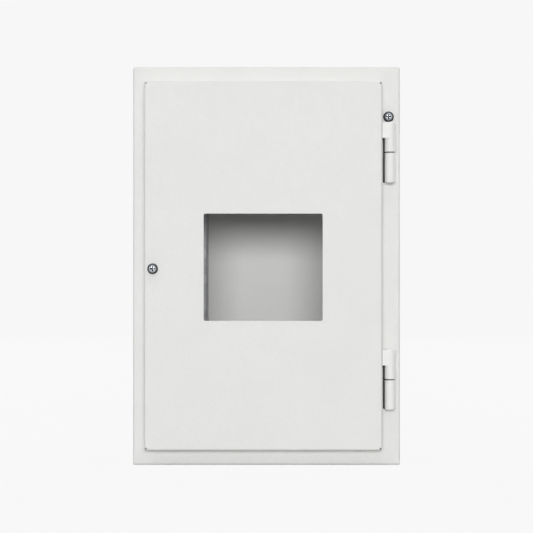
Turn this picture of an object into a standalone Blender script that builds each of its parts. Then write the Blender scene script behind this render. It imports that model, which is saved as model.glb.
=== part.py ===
"""Wall-mounted sheet-steel enclosure for circuit breakers, in metres.

+Z is up and the door faces -Y. The folded body stands on its base, the overlapping pan door hangs
on two lift-off hinges at its right and is held shut by one captive screw at its left. Sizes are in
millimetres. The letter u is the distance in front of the body's lip, towards whoever faces the door.
"""

import math

import bmesh
import bpy
from mathutils import Matrix, Vector

MM = 0.001

# Gap that pieces lying against each other keep
SEAT = 0.3

# Folded body
BODY_W = 302.0
BODY_H = 450.0
BODY_D = 150.0
SHEET = 1.2
BODY_BEND = 2.4
BODY_CORNER = 1.6
FOLD_CORNER = 0.5
LIP = 32.0
LIP_RETURN = 8.0

# Fixing holes in the back wall, and cable knock-outs in the top and base
WALL_HOLE_R = 3.5
WALL_HOLE_INSET = 25.0
KNOCKOUT_R = 11.25
KNOCKOUT_SLIT = 0.8
KNOCKOUT_PITCH = 62.0
KNOCKOUT_FROM_BACK = 52.0
KNOCKOUT_TAB_ANGLE = 14.0

# Pan door
DOOR_LOCK_MARGIN = 13.5
DOOR_HINGE_MARGIN = 21.0
DOOR_END_MARGIN = 17.75
DOOR_GAP = 1.0
DOOR_DEPTH = 15.3
DOOR_BEND = 2.0
DOOR_CORNER = 2.0
RELIEF_R = 1.1
RELIEF_INSET = 1.9
CORNER_SLIT = 0.5

# Window in the door
WINDOW_W = 133.6
WINDOW_H = 120.5
WINDOW_CORNER = 1.7
WINDOW_DROP = 1.4

# Lift-off hinges
HINGE_Z = 127.9
HINGE_HALF = 34.2
KNUCKLE_R = 6.0
KNUCKLE_GAP = 3.2
KNUCKLE_EDGE = 0.5
KNUCKLE_END_ROUND = 1.8
ARM_T = 7.0
ARM_H = 17.2
ARM_DROP = 0.9
ARM_CURVE = 1.8
ARM_SINK = 0.06
FOOT_HALF_W = 4.0
PIN_R = 3.0
PIN_CLEAR = 0.3
PIN_UP = 22.0
PIN_DOWN = 20.0

# Metric screws: nominal shank radius, head radius, head height, recess
M6_R = 2.95
M6_HEAD_R = 6.0
M6_HEAD_H = 4.6
M6_NUT_FLATS = 10.0
M6_NUT_H = 5.0
M5_R = 2.45
M5_HEAD_R = 4.9
M5_HEAD_H = 3.7
M5_NUT_FLATS = 8.0
M5_NUT_H = 4.0
HOLE_CLEAR = 0.45
NUT_CLEAR = 0.4
WASHER_OUT_R = 6.2
WASHER_T = 1.5
END_CHAMFER = 0.6

# Captive screw that holds the door shut, with its nut in the lip
LOCK_INSET = 9.7
LOCK_DROP = 3.1
LOCK_L = 25.0
LOCK_SHANK_R = 2.65
LOCK_SWING = 0.5
RETAINER_R = 5.8
RETAINER_T = 1.2
RETAINER_GAP = 0.7
RIVET_FLANGE_R = 5.2
RIVET_FLANGE_T = 1.0
RIVET_WALL = 1.15
RIVET_BULGE = 1.2
RIVET_BULGE_L = 2.6
RIVET_L = 13.0

# Earth terminals on the lip and inside the door
EARTH_INSET = 13.1
EARTH_GAP = 0.5
EARTH_L = 16.0
DOOR_STUD_INSET = 25.0
DOOR_STUD_Z = -160.0
DOOR_STUD_L = 11.5

# Slotted mounting posts on the back wall
POST_SPACING = 139.8
POST_W = 20.0
POST_D = 65.0
POST_H = 380.0
POST_T = 1.5
POST_FOLD = 1.0
POST_SLOT_W = 6.5
POST_SLOT_L = 14.0
POST_SLOT_PITCH = 25.0
STUD_INSET = 30.0
STUD_L = 15.0

# Top-hat rails for the breakers
RAIL_L = 230.0
RAIL_W = 35.0
RAIL_HAT = 27.0
RAIL_D = 7.5
RAIL_T = 1.0
RAIL_FOLD = 0.6
RAIL_SLOT_L = 18.0
RAIL_SLOT_W = 6.3
RAIL_SLOT_PITCH = 25.0
RAIL_SLOTS_BELOW_LAST = 2
RAIL_SCREW_L = 10.0

# Neutral and earth terminal bars on insulators
BAR_END = 15.0
BAR_H = 8.0
BAR_D = 10.0
BAR_EDGE = 0.5
BAR_HOLE_R = 2.7
BAR_HOLE_PITCH = 15.0
CLAMP_R = 2.0
INSULATOR_H = 22.0
INSULATOR_BASE = 14.0
INSULATOR_WAIST = 11.0
BAR_SCREW_SPARE = 2.5

# Facets
BEND_STEPS = 3
CORNER_STEPS = 3
ROUND = 24
SMALL_ROUND = 12

# Places that follow from the sizes
DOOR_FRONT = DOOR_GAP + DOOR_DEPTH
DOOR_INNER = DOOR_FRONT - SHEET
DOOR_LEFT = -BODY_W / 2 + DOOR_LOCK_MARGIN
DOOR_RIGHT = BODY_W / 2 - DOOR_HINGE_MARGIN
DOOR_MID = (DOOR_LEFT + DOOR_RIGHT) / 2
DOOR_W = DOOR_RIGHT - DOOR_LEFT
DOOR_H = BODY_H - 2 * DOOR_END_MARGIN
AXIS_X = DOOR_RIGHT + KNUCKLE_GAP + KNUCKLE_R
AXIS_U = DOOR_FRONT - DOOR_BEND - SEAT - KNUCKLE_R
LOCK_X = DOOR_LEFT + LOCK_INSET
LOCK_Z = -LOCK_DROP
LOCK_SEAT = DOOR_FRONT + SEAT
RIVET_FRONT = SEAT + RIVET_FLANGE_T
EARTH_X = BODY_W / 2 - EARTH_INSET
EARTH_Z = HINGE_Z + HINGE_HALF + EARTH_GAP + M6_HEAD_R
BACK_INNER = -BODY_D + SHEET
POST_BACK = BACK_INNER + SEAT
POST_FRONT = POST_BACK + POST_D
POST_FIX_X = POST_SPACING / 2 + POST_W / 2
STUD_Z = POST_H / 2 - STUD_INSET
LAST_SLOT = int((POST_H / 2 - POST_SLOT_L) // POST_SLOT_PITCH)
RAIL_Z = (LAST_SLOT - RAIL_SLOTS_BELOW_LAST) * POST_SLOT_PITCH
BAR_Z = LAST_SLOT * POST_SLOT_PITCH
BAR_L = 2 * (POST_FIX_X + BAR_END)
BAR_BACK = POST_FRONT + SEAT + INSULATOR_H + SEAT
FRONT_MOST = LOCK_SEAT + M6_HEAD_H
LIP_Y = (FRONT_MOST - BODY_D) / 2
MID_Z = BODY_H / 2


# Coordinates and outlines


def at(x, u, z):
    """Where a point of the body lies in the scene, in metres."""
    return Vector((x, LIP_Y - u, MID_Z + z)) * MM


def arc(cx, cy, radius, start, end, steps):
    """Points of an arc between two angles in degrees, both ends included."""
    angles = [math.radians(start + (end - start) * i / steps) for i in range(steps + 1)]
    return [(cx + radius * math.cos(a), cy + radius * math.sin(a)) for a in angles]


def rounded(width, height, radius, steps=CORNER_STEPS):
    """A rectangle with rounded corners about the origin."""
    points = []
    for quarter, (sx, sy) in enumerate(((1, 1), (-1, 1), (-1, -1), (1, -1))):
        cx = sx * (width / 2 - radius)
        cy = sy * (height / 2 - radius)
        points += arc(cx, cy, radius, 90 * quarter, 90 * quarter + 90, steps)
    return points


def stadium(length, width, steps=4):
    """A slot with round ends, long along its first axis."""
    reach = (length - width) / 2
    right = arc(reach, 0, width / 2, -90, 90, steps)
    return right + arc(-reach, 0, width / 2, 90, 270, steps)


def folded(path, thickness, inner_radius, steps=BEND_STEPS):
    """The closed section of a strip folded along a centre line of straight runs."""
    radius = inner_radius + thickness / 2
    corners = [Vector(p) for p in path]
    line = [(corners[0], (corners[1] - corners[0]).normalized())]
    for before, corner, after in zip(corners, corners[1:], corners[2:]):
        way_in = (corner - before).normalized()
        way_out = (after - corner).normalized()
        turn = math.atan2(way_in.x * way_out.y - way_in.y * way_out.x, way_in.dot(way_out))
        side = math.copysign(1.0, turn)
        start = corner - way_in * radius * math.tan(abs(turn) / 2)
        centre = start + Vector((-way_in.y, way_in.x)) * side * radius
        for i in range(steps + 1):
            way = way_in.copy()
            way.rotate(Matrix.Rotation(turn * i / steps, 2))
            line.append((centre + Vector((way.y, -way.x)) * side * radius, way))
    line.append((corners[-1], (corners[-1] - corners[-2]).normalized()))
    half = thickness / 2
    left = [(p.x - d.y * half, p.y + d.x * half) for p, d in line]
    right = [(p.x + d.y * half, p.y - d.x * half) for p, d in line]
    return left + right[::-1]


# Meshes


def prism(bm, outline, start, end, axis, centre=(0.0, 0.0)):
    """Adds a closed prism: an outline extruded along u, z or x. Outlines are (x, z), (x, u), (z, u)."""
    shape = {
        "u": lambda a, b, t: Vector((a, -t, b)),
        "z": lambda a, b, t: Vector((a, -b, t)),
        "x": lambda a, b, t: Vector((t, -b, a)),
    }[axis]
    verts = [bm.verts.new(shape(a + centre[0], b + centre[1], start)) for a, b in outline]
    face = bm.faces.new(verts)
    grown = bmesh.ops.extrude_face_region(bm, geom=[face])
    moved = [item for item in grown["geom"] if isinstance(item, bmesh.types.BMVert)]
    bmesh.ops.translate(bm, vec=shape(0, 0, end) - shape(0, 0, start), verts=moved)
    return [*verts, *moved]


def rod(bm, radius, start, end, axis, centre=(0.0, 0.0), steps=SMALL_ROUND):
    """Adds a plain cylinder."""
    circle = arc(0, 0, radius, 0, 360 - 360 / steps, steps - 1)
    return prism(bm, circle, start, end, axis, centre)


def lathe(profile, steps, ring=False):
    """Turns a profile of (radius, height) about Z. A ring's profile closes on itself."""
    bm = bmesh.new()
    verts = [bm.verts.new((r, 0, h)) for r, h in profile]
    pairs = list(zip(verts, verts[1:]))
    if ring:
        pairs.append((verts[-1], verts[0]))
    edges = [bm.edges.new(pair) for pair in pairs]
    turn = {"cent": (0, 0, 0), "axis": (0, 0, 1), "angle": math.tau, "steps": steps}
    bmesh.ops.spin(bm, geom=verts + edges, use_duplicate=False, **turn)
    bmesh.ops.remove_doubles(bm, verts=bm.verts, dist=1e-4)
    return bm


def loft(rings, closed=False):
    """A skin through rings of equal counts, capped at both ends or joined end to start."""
    bm = bmesh.new()
    loops = [[bm.verts.new(p) for p in ring] for ring in rings]
    pairs = list(zip(loops, loops[1:]))
    if closed:
        pairs.append((loops[-1], loops[0]))
    for near, far in pairs:
        for i, vert in enumerate(near):
            j = (i + 1) % len(near)
            bm.faces.new((vert, near[j], far[j], far[i]))
    if not closed:
        bm.faces.new(loops[0])
        bm.faces.new(loops[-1])
    return bm


def pan_rings(width, height, path, corner):
    """Rounded rectangles for a folded pan, one for each (inset, u) of its section."""
    rings = []
    for inset, u in path:
        radius = max(corner - inset, FOLD_CORNER)
        outline = rounded(width - 2 * inset, height - 2 * inset, radius)
        rings.append([(x, -u, z) for x, z in outline])
    return rings


# Objects


def material(name, colour, roughness, metallic=0.0):
    made = bpy.data.materials.new(name)
    made.use_nodes = True
    shader = made.node_tree.nodes["Principled BSDF"]
    shader.inputs["Base Color"].default_value = (*colour, 1.0)
    shader.inputs["Roughness"].default_value = roughness
    shader.inputs["Metallic"].default_value = metallic
    made.diffuse_color = (*colour, 1.0)
    return made


def mesh_from(bm, name, look=None):
    """A mesh in metres from one that was built in millimetres."""
    bmesh.ops.scale(bm, vec=(MM, MM, MM), verts=bm.verts)
    bmesh.ops.recalc_face_normals(bm, faces=bm.faces)
    mesh = bpy.data.meshes.new(name)
    bm.to_mesh(mesh)
    bm.free()
    if look:
        mesh.materials.append(look)
    return mesh


def add(name, mesh, place, turn=(0.0, 0.0, 0.0), parent=None):
    """A named object at a place of the scene, carried by an empty if there is one."""
    obj = bpy.data.objects.new(name, mesh)
    bpy.context.scene.collection.objects.link(obj)
    obj.rotation_euler = turn
    obj.location = place
    if parent:
        obj.parent = parent
        obj.location = place - parent.location
    return obj


def add_axis(name, place, parent=None):
    """An empty that marks the axis of what it carries."""
    empty = bpy.data.objects.new(name, None)
    empty.empty_display_size = 0.02
    bpy.context.scene.collection.objects.link(empty)
    empty.location = place
    if parent:
        empty.parent = parent
        empty.location = place - parent.location
    return empty


def carve(obj, bm, operation="DIFFERENCE"):
    """Cuts a shape out of an object, or joins it on. Both are drawn about the object's origin."""
    tool = bpy.data.objects.new("carving_shape", mesh_from(bm, "carving_shape"))
    bpy.context.scene.collection.objects.link(tool)
    tool.hide_render = True
    tool.display_type = "WIRE"
    tool.parent = obj
    cut = obj.modifiers.new("carve", "BOOLEAN")
    cut.operation = operation
    cut.solver = "EXACT"
    cut.object = tool
    bpy.context.view_layer.update()
    graph = bpy.context.evaluated_depsgraph_get()
    shape = bpy.data.meshes.new_from_object(obj.evaluated_get(graph))
    obj.modifiers.clear()
    before, obj.data = obj.data, shape
    shape.name = before.name
    bpy.data.meshes.remove(before)
    bpy.data.meshes.remove(tool.data)


def smooth_rounds(obj):
    """Shades bends and turned faces smooth and keeps folds sharp."""
    obj.data.shade_smooth()
    obj.data.set_sharp_from_angle(angle=math.radians(38))


# Body


def body_section():
    """(inset, u) from the back's outside, round the lip and its return, to the back's inside."""
    rear = -BODY_D + BODY_BEND
    inner = BODY_BEND - SHEET
    path = arc(BODY_BEND, rear, BODY_BEND, 270, 180, BEND_STEPS)
    path += arc(BODY_BEND, -BODY_BEND, BODY_BEND, 180, 90, BEND_STEPS)
    path += arc(LIP - BODY_BEND, -BODY_BEND, BODY_BEND, 90, 0, BEND_STEPS)
    path += [(LIP, -LIP_RETURN), (LIP - SHEET, -LIP_RETURN)]
    path += arc(LIP - BODY_BEND, -BODY_BEND, inner, 0, 90, BEND_STEPS)
    path += arc(BODY_BEND, -BODY_BEND, inner, 90, 180, BEND_STEPS)
    path += arc(BODY_BEND, rear, inner, 180, 270, BEND_STEPS)
    return path


def knockout_slits(bm):
    """Two curved slits round each knock-out, through the top and through the base."""
    reach = 90 - KNOCKOUT_TAB_ANGLE
    u = -BODY_D + KNOCKOUT_FROM_BACK
    outside = BODY_H / 2 + SHEET
    inside = BODY_H / 2 - 2 * SHEET
    for column in (-1, 0, 1):
        for middle in (0, 180):
            outline = arc(0, 0, KNOCKOUT_R + KNOCKOUT_SLIT, middle - reach, middle + reach, 6)
            outline += arc(0, 0, KNOCKOUT_R, middle + reach, middle - reach, 6)
            centre = (column * KNOCKOUT_PITCH, u)
            prism(bm, outline, inside, outside, "z", centre)
            prism(bm, outline, -outside, -inside, "z", centre)


def add_body(look):
    place = at(0, 0, 0)
    rings = pan_rings(BODY_W, BODY_H, body_section(), BODY_CORNER)
    body = add("body_shell", mesh_from(loft(rings), "body_shell", look), place)
    studs = bmesh.new()
    holes = bmesh.new()
    for side in (-1, 1):
        for end in (-1, 1):
            base = BACK_INNER - SHEET / 2
            stud = (side * POST_FIX_X, end * STUD_Z)
            rod(studs, M6_R, base, BACK_INNER + STUD_L, "u", stud, 12)
            x = side * (BODY_W / 2 - WALL_HOLE_INSET)
            z = end * (BODY_H / 2 - WALL_HOLE_INSET)
            rod(holes, WALL_HOLE_R, -BODY_D - SHEET, BACK_INNER + SHEET, "u", (x, z))
    lock_hole = LOCK_SHANK_R + LOCK_SWING + RIVET_WALL + SEAT
    rod(holes, lock_hole, -2 * SHEET, SHEET, "u", (LOCK_X, LOCK_Z))
    rod(holes, M6_R + HOLE_CLEAR, -2 * SHEET, SHEET, "u", (EARTH_X, EARTH_Z))
    knockout_slits(holes)
    carve(body, studs, "UNION")
    carve(body, holes)
    return body


# Door


def door_section():
    """(inset, u) from the front's outside, round the flange's edge, to the front's inside."""
    fold = DOOR_FRONT - DOOR_BEND
    path = arc(DOOR_BEND, fold, DOOR_BEND, 90, 180, BEND_STEPS)
    path += [(0, DOOR_GAP), (SHEET, DOOR_GAP)]
    path += arc(DOOR_BEND, fold, DOOR_BEND - SHEET, 180, 90, BEND_STEPS)
    return path


def corner_reliefs(bm):
    """A round relief at each corner of the pan, and the open seam between its two flanges."""
    for sx in (-1, 1):
        for sz in (-1, 1):
            x = sx * (DOOR_W / 2 - RELIEF_INSET)
            z = sz * (DOOR_H / 2 - RELIEF_INSET)
            rod(bm, RELIEF_R, DOOR_FRONT - 2 * DOOR_BEND, DOOR_FRONT + 1, "u", (x, z), 12)


def corner_seams(bm):
    for sx in (-1, 1):
        for sz in (-1, 1):
            x = sx * (DOOR_W / 2 - DOOR_BEND)
            z = sz * (DOOR_H / 2 - DOOR_BEND)
            long = 2 * DOOR_BEND * math.sqrt(2)
            strip = [(-long, -CORNER_SLIT / 2), (long, -CORNER_SLIT / 2)]
            strip += [(long, CORNER_SLIT / 2), (-long, CORNER_SLIT / 2)]
            turn = math.radians(45) * sx * sz
            outline = [
                (a * math.cos(turn) - b * math.sin(turn), a * math.sin(turn) + b * math.cos(turn))
                for a, b in strip
            ]
            prism(bm, outline, DOOR_GAP - 1, DOOR_FRONT - 1.5 * DOOR_BEND, "u", (x, z))


def add_door(look, axis):
    place = at(DOOR_MID, 0, 0)
    rings = pan_rings(DOOR_W, DOOR_H, door_section(), DOOR_CORNER)
    door = add("door_panel", mesh_from(loft(rings), "door_panel", look), place, parent=axis)
    stud = bmesh.new()
    stud_x = DOOR_RIGHT - DOOR_MID - DOOR_STUD_INSET
    stud_base = DOOR_INNER + SHEET / 2
    rod(stud, M6_R, DOOR_INNER - DOOR_STUD_L, stud_base, "u", (stud_x, DOOR_STUD_Z), 12)
    carve(door, stud, "UNION")
    holes = bmesh.new()
    window = rounded(WINDOW_W, WINDOW_H, WINDOW_CORNER)
    behind, before = DOOR_INNER - 1, DOOR_FRONT + 1
    prism(holes, window, behind, before, "u", (0, -WINDOW_DROP))
    lock = (LOCK_X - DOOR_MID, LOCK_Z)
    rod(holes, LOCK_SHANK_R + HOLE_CLEAR, behind, before, "u", lock)
    corner_reliefs(holes)
    carve(door, holes)
    seams = bmesh.new()
    corner_seams(seams)
    carve(door, seams)
    return door


# Hinges


def hinge_door_half(name, look, z, axis):
    """Upper knuckle, bored for the pin, with the flat arm that is welded to the door's edge."""
    edge = KNUCKLE_EDGE
    profile = [
        (0, SEAT),
        (KNUCKLE_R - edge, SEAT),
        (KNUCKLE_R, SEAT + edge),
        (KNUCKLE_R, HINGE_HALF - edge),
        (KNUCKLE_R - edge, HINGE_HALF),
        (0, HINGE_HALF),
    ]
    knuckle = mesh_from(lathe(profile, ROUND), name, look)
    half = add(name, knuckle, at(AXIS_X, AXIS_U, z), parent=axis)
    reach = KNUCKLE_R + KNUCKLE_GAP - SEAT
    top = HINGE_HALF - ARM_DROP
    low = top - ARM_H
    curve_from = -0.55 * reach
    lower = [
        (curve_from * (1 - i / 5), low + ARM_CURVE * (1 - math.cos(math.pi / 2 * i / 5)))
        for i in range(6)
    ]
    arm = bmesh.new()
    outline = [(-reach, low), *lower, (0, top), (-reach, top)]
    front = KNUCKLE_R - ARM_SINK
    prism(arm, outline, front - ARM_T, front, "u")
    carve(half, arm, "UNION")
    bore = bmesh.new()
    rod(bore, PIN_R + PIN_CLEAR, -1, PIN_UP + PIN_CLEAR, "z", steps=20)
    carve(half, bore)
    return half


def hinge_frame_half(name, look, z):
    """Lower knuckle with its pin bore, round at the bottom, on a foot that is welded to the lip."""
    turned = arc(
        KNUCKLE_R - KNUCKLE_END_ROUND,
        KNUCKLE_END_ROUND - HINGE_HALF,
        KNUCKLE_END_ROUND,
        -90,
        0,
        3,
    )
    profile = [
        (0, -HINGE_HALF),
        *turned,
        (KNUCKLE_R, -SEAT - KNUCKLE_EDGE),
        (KNUCKLE_R - KNUCKLE_EDGE, -SEAT),
        (0, -SEAT),
    ]
    knuckle = mesh_from(lathe(profile, ROUND), name, look)
    half = add(name, knuckle, at(AXIS_X, AXIS_U, z))
    foot = bmesh.new()
    section = [(-FOOT_HALF_W, SEAT - AXIS_U), (FOOT_HALF_W, SEAT - AXIS_U)]
    section += [(FOOT_HALF_W, -1), (-FOOT_HALF_W, -1)]
    prism(foot, section, 1.5 * KNUCKLE_END_ROUND - HINGE_HALF, -SEAT - 2 * KNUCKLE_EDGE, "z")
    carve(half, foot, "UNION")
    bore = bmesh.new()
    rod(bore, PIN_R + PIN_CLEAR, -PIN_DOWN - PIN_CLEAR, 1, "z", steps=20)
    carve(half, bore)
    return half


def hinge_pin(name, look, z):
    """Pin that stands in the lower knuckle and carries the upper one."""
    edge = END_CHAMFER
    profile = [
        (0, -PIN_DOWN),
        (PIN_R, -PIN_DOWN),
        (PIN_R, PIN_UP - edge),
        (PIN_R - edge, PIN_UP),
        (0, PIN_UP),
    ]
    return add(name, mesh_from(lathe(profile, SMALL_ROUND), name, look), at(AXIS_X, AXIS_U, z))


# Fasteners. Each is turned about Z and laid with its head towards the front

FACE_FRONT = (math.radians(90), 0.0, 0.0)


def pan_screw(name, look, shank_r, length, head_r, head_h, steps):
    """Pan-head screw with an upright cross recess."""
    side = 0.3 * head_h
    crown = arc(0, 0, 1, 0, 72, 3)
    rise = (head_h - side) / crown[-1][1]
    profile = [
        (0, -length),
        (shank_r - END_CHAMFER, -length),
        (shank_r, END_CHAMFER - length),
        (shank_r, 0),
        (head_r, 0),
        *[(head_r * x, side + rise * y) for x, y in crown],
        (0, head_h),
    ]
    bm = lathe(profile, steps)
    mesh = mesh_from(bm, name, look)
    holder = add(name, mesh, Vector((0, 0, 0)))
    wide, deep, thick = 0.54 * head_r, 0.42 * head_h, 0.13 * head_r
    blade = [(-wide, 2 * head_h), (wide, 2 * head_h), (wide, 0.9 * head_h)]
    blade += [(0.3 * wide, head_h - 1.5 * deep), (-0.3 * wide, head_h - 1.5 * deep)]
    blade += [(-wide, 0.9 * head_h)]
    for turn in (0, 90):
        wing = bmesh.new()
        verts = prism(wing, [(x, -z) for x, z in blade], -thick, thick, "z")
        bmesh.ops.rotate(wing, matrix=Matrix.Rotation(math.radians(-90), 3, "X"), verts=verts)
        bmesh.ops.rotate(wing, matrix=Matrix.Rotation(math.radians(turn), 3, "Z"), verts=verts)
        carve(holder, wing)
    shape = holder.data
    bpy.data.objects.remove(holder)
    return shape


def hex_nut(name, look, flats, height, bore):
    """Six-sided nut with turned corners, its lower face at zero."""
    half = 0.97 * flats / 2
    rings = []

    def circle(radius, z):
        return [(x, y, z) for x, y in arc(0, 0, radius, 0, 330, 11)]

    def sides(z, way):
        ring = []
        for i in range(12):
            out = flats / 2 / math.cos(math.radians(30 if i % 2 else 0))
            angle = math.radians(30 * i)
            ring.append((out * math.cos(angle), out * math.sin(angle), z + way * (out - half) * 0.58))
        return ring

    rings.append(circle(bore, 0))
    rings.append(circle(half, 0))
    rings.append(sides(0, 1))
    rings.append(sides(height, -1))
    rings.append(circle(half, height))
    rings.append(circle(bore, height))
    return mesh_from(loft(rings, closed=True), name, look)


def washer(name, look, bore, out, height):
    profile = [(bore, 0), (out, 0), (out, height), (bore, height)]
    return mesh_from(lathe(profile, 16, ring=True), name, look)


def rivet_nut(name, look):
    """Blind nut set in the lip: a flange before the sheet and a crimped bulge behind it."""
    bore = LOCK_SHANK_R + LOCK_SWING
    body = bore + RIVET_WALL
    crimp = -SHEET - SEAT
    tail = crimp - RIVET_BULGE_L
    profile = [
        (bore, -RIVET_L),
        (body, -RIVET_L),
        (body, tail),
        (body + RIVET_BULGE, tail + 0.4 * RIVET_BULGE_L),
        (body + RIVET_BULGE, crimp),
        (body, crimp),
        (body, SEAT),
        (RIVET_FLANGE_R, SEAT),
        (RIVET_FLANGE_R, RIVET_FRONT - 0.3),
        (RIVET_FLANGE_R - 0.3, RIVET_FRONT),
        (bore, RIVET_FRONT),
    ]
    return mesh_from(lathe(profile, 16, ring=True), name, look)


def add_lock(zinc, steel, axis):
    """The door's screw, the ring that keeps it in the door, and its nut in the lip."""
    add("lock_rivet_nut", rivet_nut("lock_rivet_nut", steel), at(LOCK_X, 0, LOCK_Z), FACE_FRONT)
    travel = add_axis("lock_screw_axis", at(LOCK_X, LOCK_SEAT, LOCK_Z), axis)
    ring = washer(
        "lock_screw_retainer",
        steel,
        LOCK_SHANK_R + SEAT,
        RETAINER_R,
        RETAINER_T,
    )
    ring_at = at(LOCK_X, RIVET_FRONT + RETAINER_GAP, LOCK_Z) - at(LOCK_X, LOCK_SEAT, LOCK_Z)
    for name, mesh, offset in (
        (
            "lock_screw",
            pan_screw("lock_screw", zinc, LOCK_SHANK_R, LOCK_L, M6_HEAD_R, M6_HEAD_H, ROUND),
            Vector((0, 0, 0)),
        ),
        ("lock_screw_retainer", ring, ring_at),
    ):
        obj = add(name, mesh, offset, FACE_FRONT)
        obj.parent = travel


def add_earth_terminals(zinc, axis):
    """The earth screw through the lip with its washer and nut, and those on the door's stud."""
    screw = pan_screw("earth_screw", zinc, M6_R, EARTH_L, M6_HEAD_R, M6_HEAD_H, ROUND)
    add("earth_screw", screw, at(EARTH_X, SEAT, EARTH_Z), FACE_FRONT)
    disc = washer("earth_washer", zinc, M6_R + SEAT, WASHER_OUT_R, WASHER_T)
    nut = hex_nut("earth_nut", zinc, M6_NUT_FLATS, M6_NUT_H, M6_R + NUT_CLEAR)
    back = -SHEET - SEAT - WASHER_T
    add("earth_washer", disc, at(EARTH_X, back, EARTH_Z), FACE_FRONT)
    add("earth_nut", nut, at(EARTH_X, back - SEAT - M6_NUT_H, EARTH_Z), FACE_FRONT)
    x = DOOR_RIGHT - DOOR_STUD_INSET
    back = DOOR_INNER - SEAT - WASHER_T
    add("door_earth_washer", disc, at(x, back, DOOR_STUD_Z), FACE_FRONT, axis)
    add("door_earth_nut", nut, at(x, back - SEAT - M6_NUT_H, DOOR_STUD_Z), FACE_FRONT, axis)


# Inside


def add_post(name, look, side):
    """A folded channel, open outwards, bolted to the back wall, with a slotted front flange."""
    inner = POST_SPACING / 2 + POST_T / 2
    outer = POST_SPACING / 2 + POST_W
    rear, front = POST_BACK + POST_T / 2, POST_FRONT - POST_T / 2
    path = [(outer, rear), (inner, rear), (inner, front), (outer, front)]
    section = folded([(side * x, u) for x, u in path], POST_T, POST_FOLD)
    bm = bmesh.new()
    prism(bm, section, -POST_H / 2, POST_H / 2, "z")
    post = add(name, mesh_from(bm, name, look), at(0, 0, 0))
    holes = bmesh.new()
    x = side * POST_FIX_X
    for end in (-1, 1):
        rear_face = (POST_BACK - 1, POST_BACK + 2 * POST_T)
        rod(holes, M6_R + HOLE_CLEAR, *rear_face, "u", (x, end * STUD_Z), 12)
    slot = [(b, a) for a, b in stadium(POST_SLOT_L, POST_SLOT_W, 3)]
    for step in range(-LAST_SLOT, LAST_SLOT + 1):
        front_face = (POST_FRONT - 2 * POST_T, POST_FRONT + 1)
        prism(holes, slot, *front_face, "u", (x, step * POST_SLOT_PITCH))
    carve(post, holes)


def rail_slots():
    """Slot centres along half a rail, one of them over the post."""
    found = []
    x = POST_FIX_X
    while x + RAIL_SLOT_PITCH + RAIL_SLOT_L < RAIL_L / 2:
        x += RAIL_SLOT_PITCH
    while x > 0.75 * RAIL_SLOT_L:
        found.append(x)
        x -= RAIL_SLOT_PITCH
    return found


def add_rail(name, look, z):
    """A folded top-hat rail across the two posts, slotted along its web."""
    brim = RAIL_D - RAIL_T / 2
    half_hat = RAIL_HAT / 2 - RAIL_T / 2
    right = [(half_hat, RAIL_T / 2), (half_hat, brim), (RAIL_W / 2, brim)]
    path = [(-a, u) for a, u in right[::-1]] + right
    bm = bmesh.new()
    prism(bm, folded(path, RAIL_T, RAIL_FOLD), -RAIL_L / 2, RAIL_L / 2, "x")
    rail = add(name, mesh_from(bm, name, look), at(0, POST_FRONT + SEAT, z))
    holes = bmesh.new()
    for x in rail_slots():
        for side in (-1, 1):
            prism(holes, stadium(RAIL_SLOT_L, RAIL_SLOT_W, 3), -1, 2 * RAIL_T, "u", (side * x, 0))
    carve(rail, holes)


def add_bar(name, look, z):
    """A brass terminal bar: cable holes up through it, and a tapped clamping hole to each."""
    bm = bmesh.new()
    section = rounded(BAR_H, BAR_D, BAR_EDGE, 1)
    prism(bm, section, -BAR_L / 2, BAR_L / 2, "x", (0, BAR_D / 2))
    bar = add(name, mesh_from(bm, name, look), at(0, BAR_BACK, z))
    cables = bmesh.new()
    clamps = bmesh.new()
    count = int((POST_FIX_X - BAR_HOLE_PITCH) // BAR_HOLE_PITCH)
    for i in range(-count, count + 1):
        x = i * BAR_HOLE_PITCH
        rod(cables, BAR_HOLE_R, -BAR_H, BAR_H, "z", (x, BAR_D / 2), 8)
        rod(clamps, CLAMP_R, BAR_D / 2, BAR_D + 1, "u", (x, 0), 6)
    for side in (-1, 1):
        rod(clamps, M5_R + SEAT, -1, BAR_D + 1, "u", (side * POST_FIX_X, 0), 12)
    carve(bar, cables)
    carve(bar, clamps)


def insulator(name, look):
    """A waisted moulded stand-off, bored for its screw."""
    foot = INSULATOR_BASE
    waist = INSULATOR_WAIST
    levels = (
        (foot, 0.0),
        (foot, 0.14),
        (waist, 0.24),
        (waist, 0.44),
        (foot, 0.5),
        (waist, 0.56),
        (waist, 0.76),
        (foot, 0.86),
        (foot, 1.0),
    )
    rings = [
        [(x, -share * INSULATOR_H, z) for x, z in rounded(size, size, 2.0, 1)]
        for size, share in levels
    ]
    holder = add(name, mesh_from(loft(rings), name, look), Vector((0, 0, 0)))
    bore = bmesh.new()
    rod(bore, M5_R + SEAT, -1, INSULATOR_H + 1, "u", steps=12)
    carve(holder, bore)
    shape = holder.data
    bpy.data.objects.remove(holder)
    return shape


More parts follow.
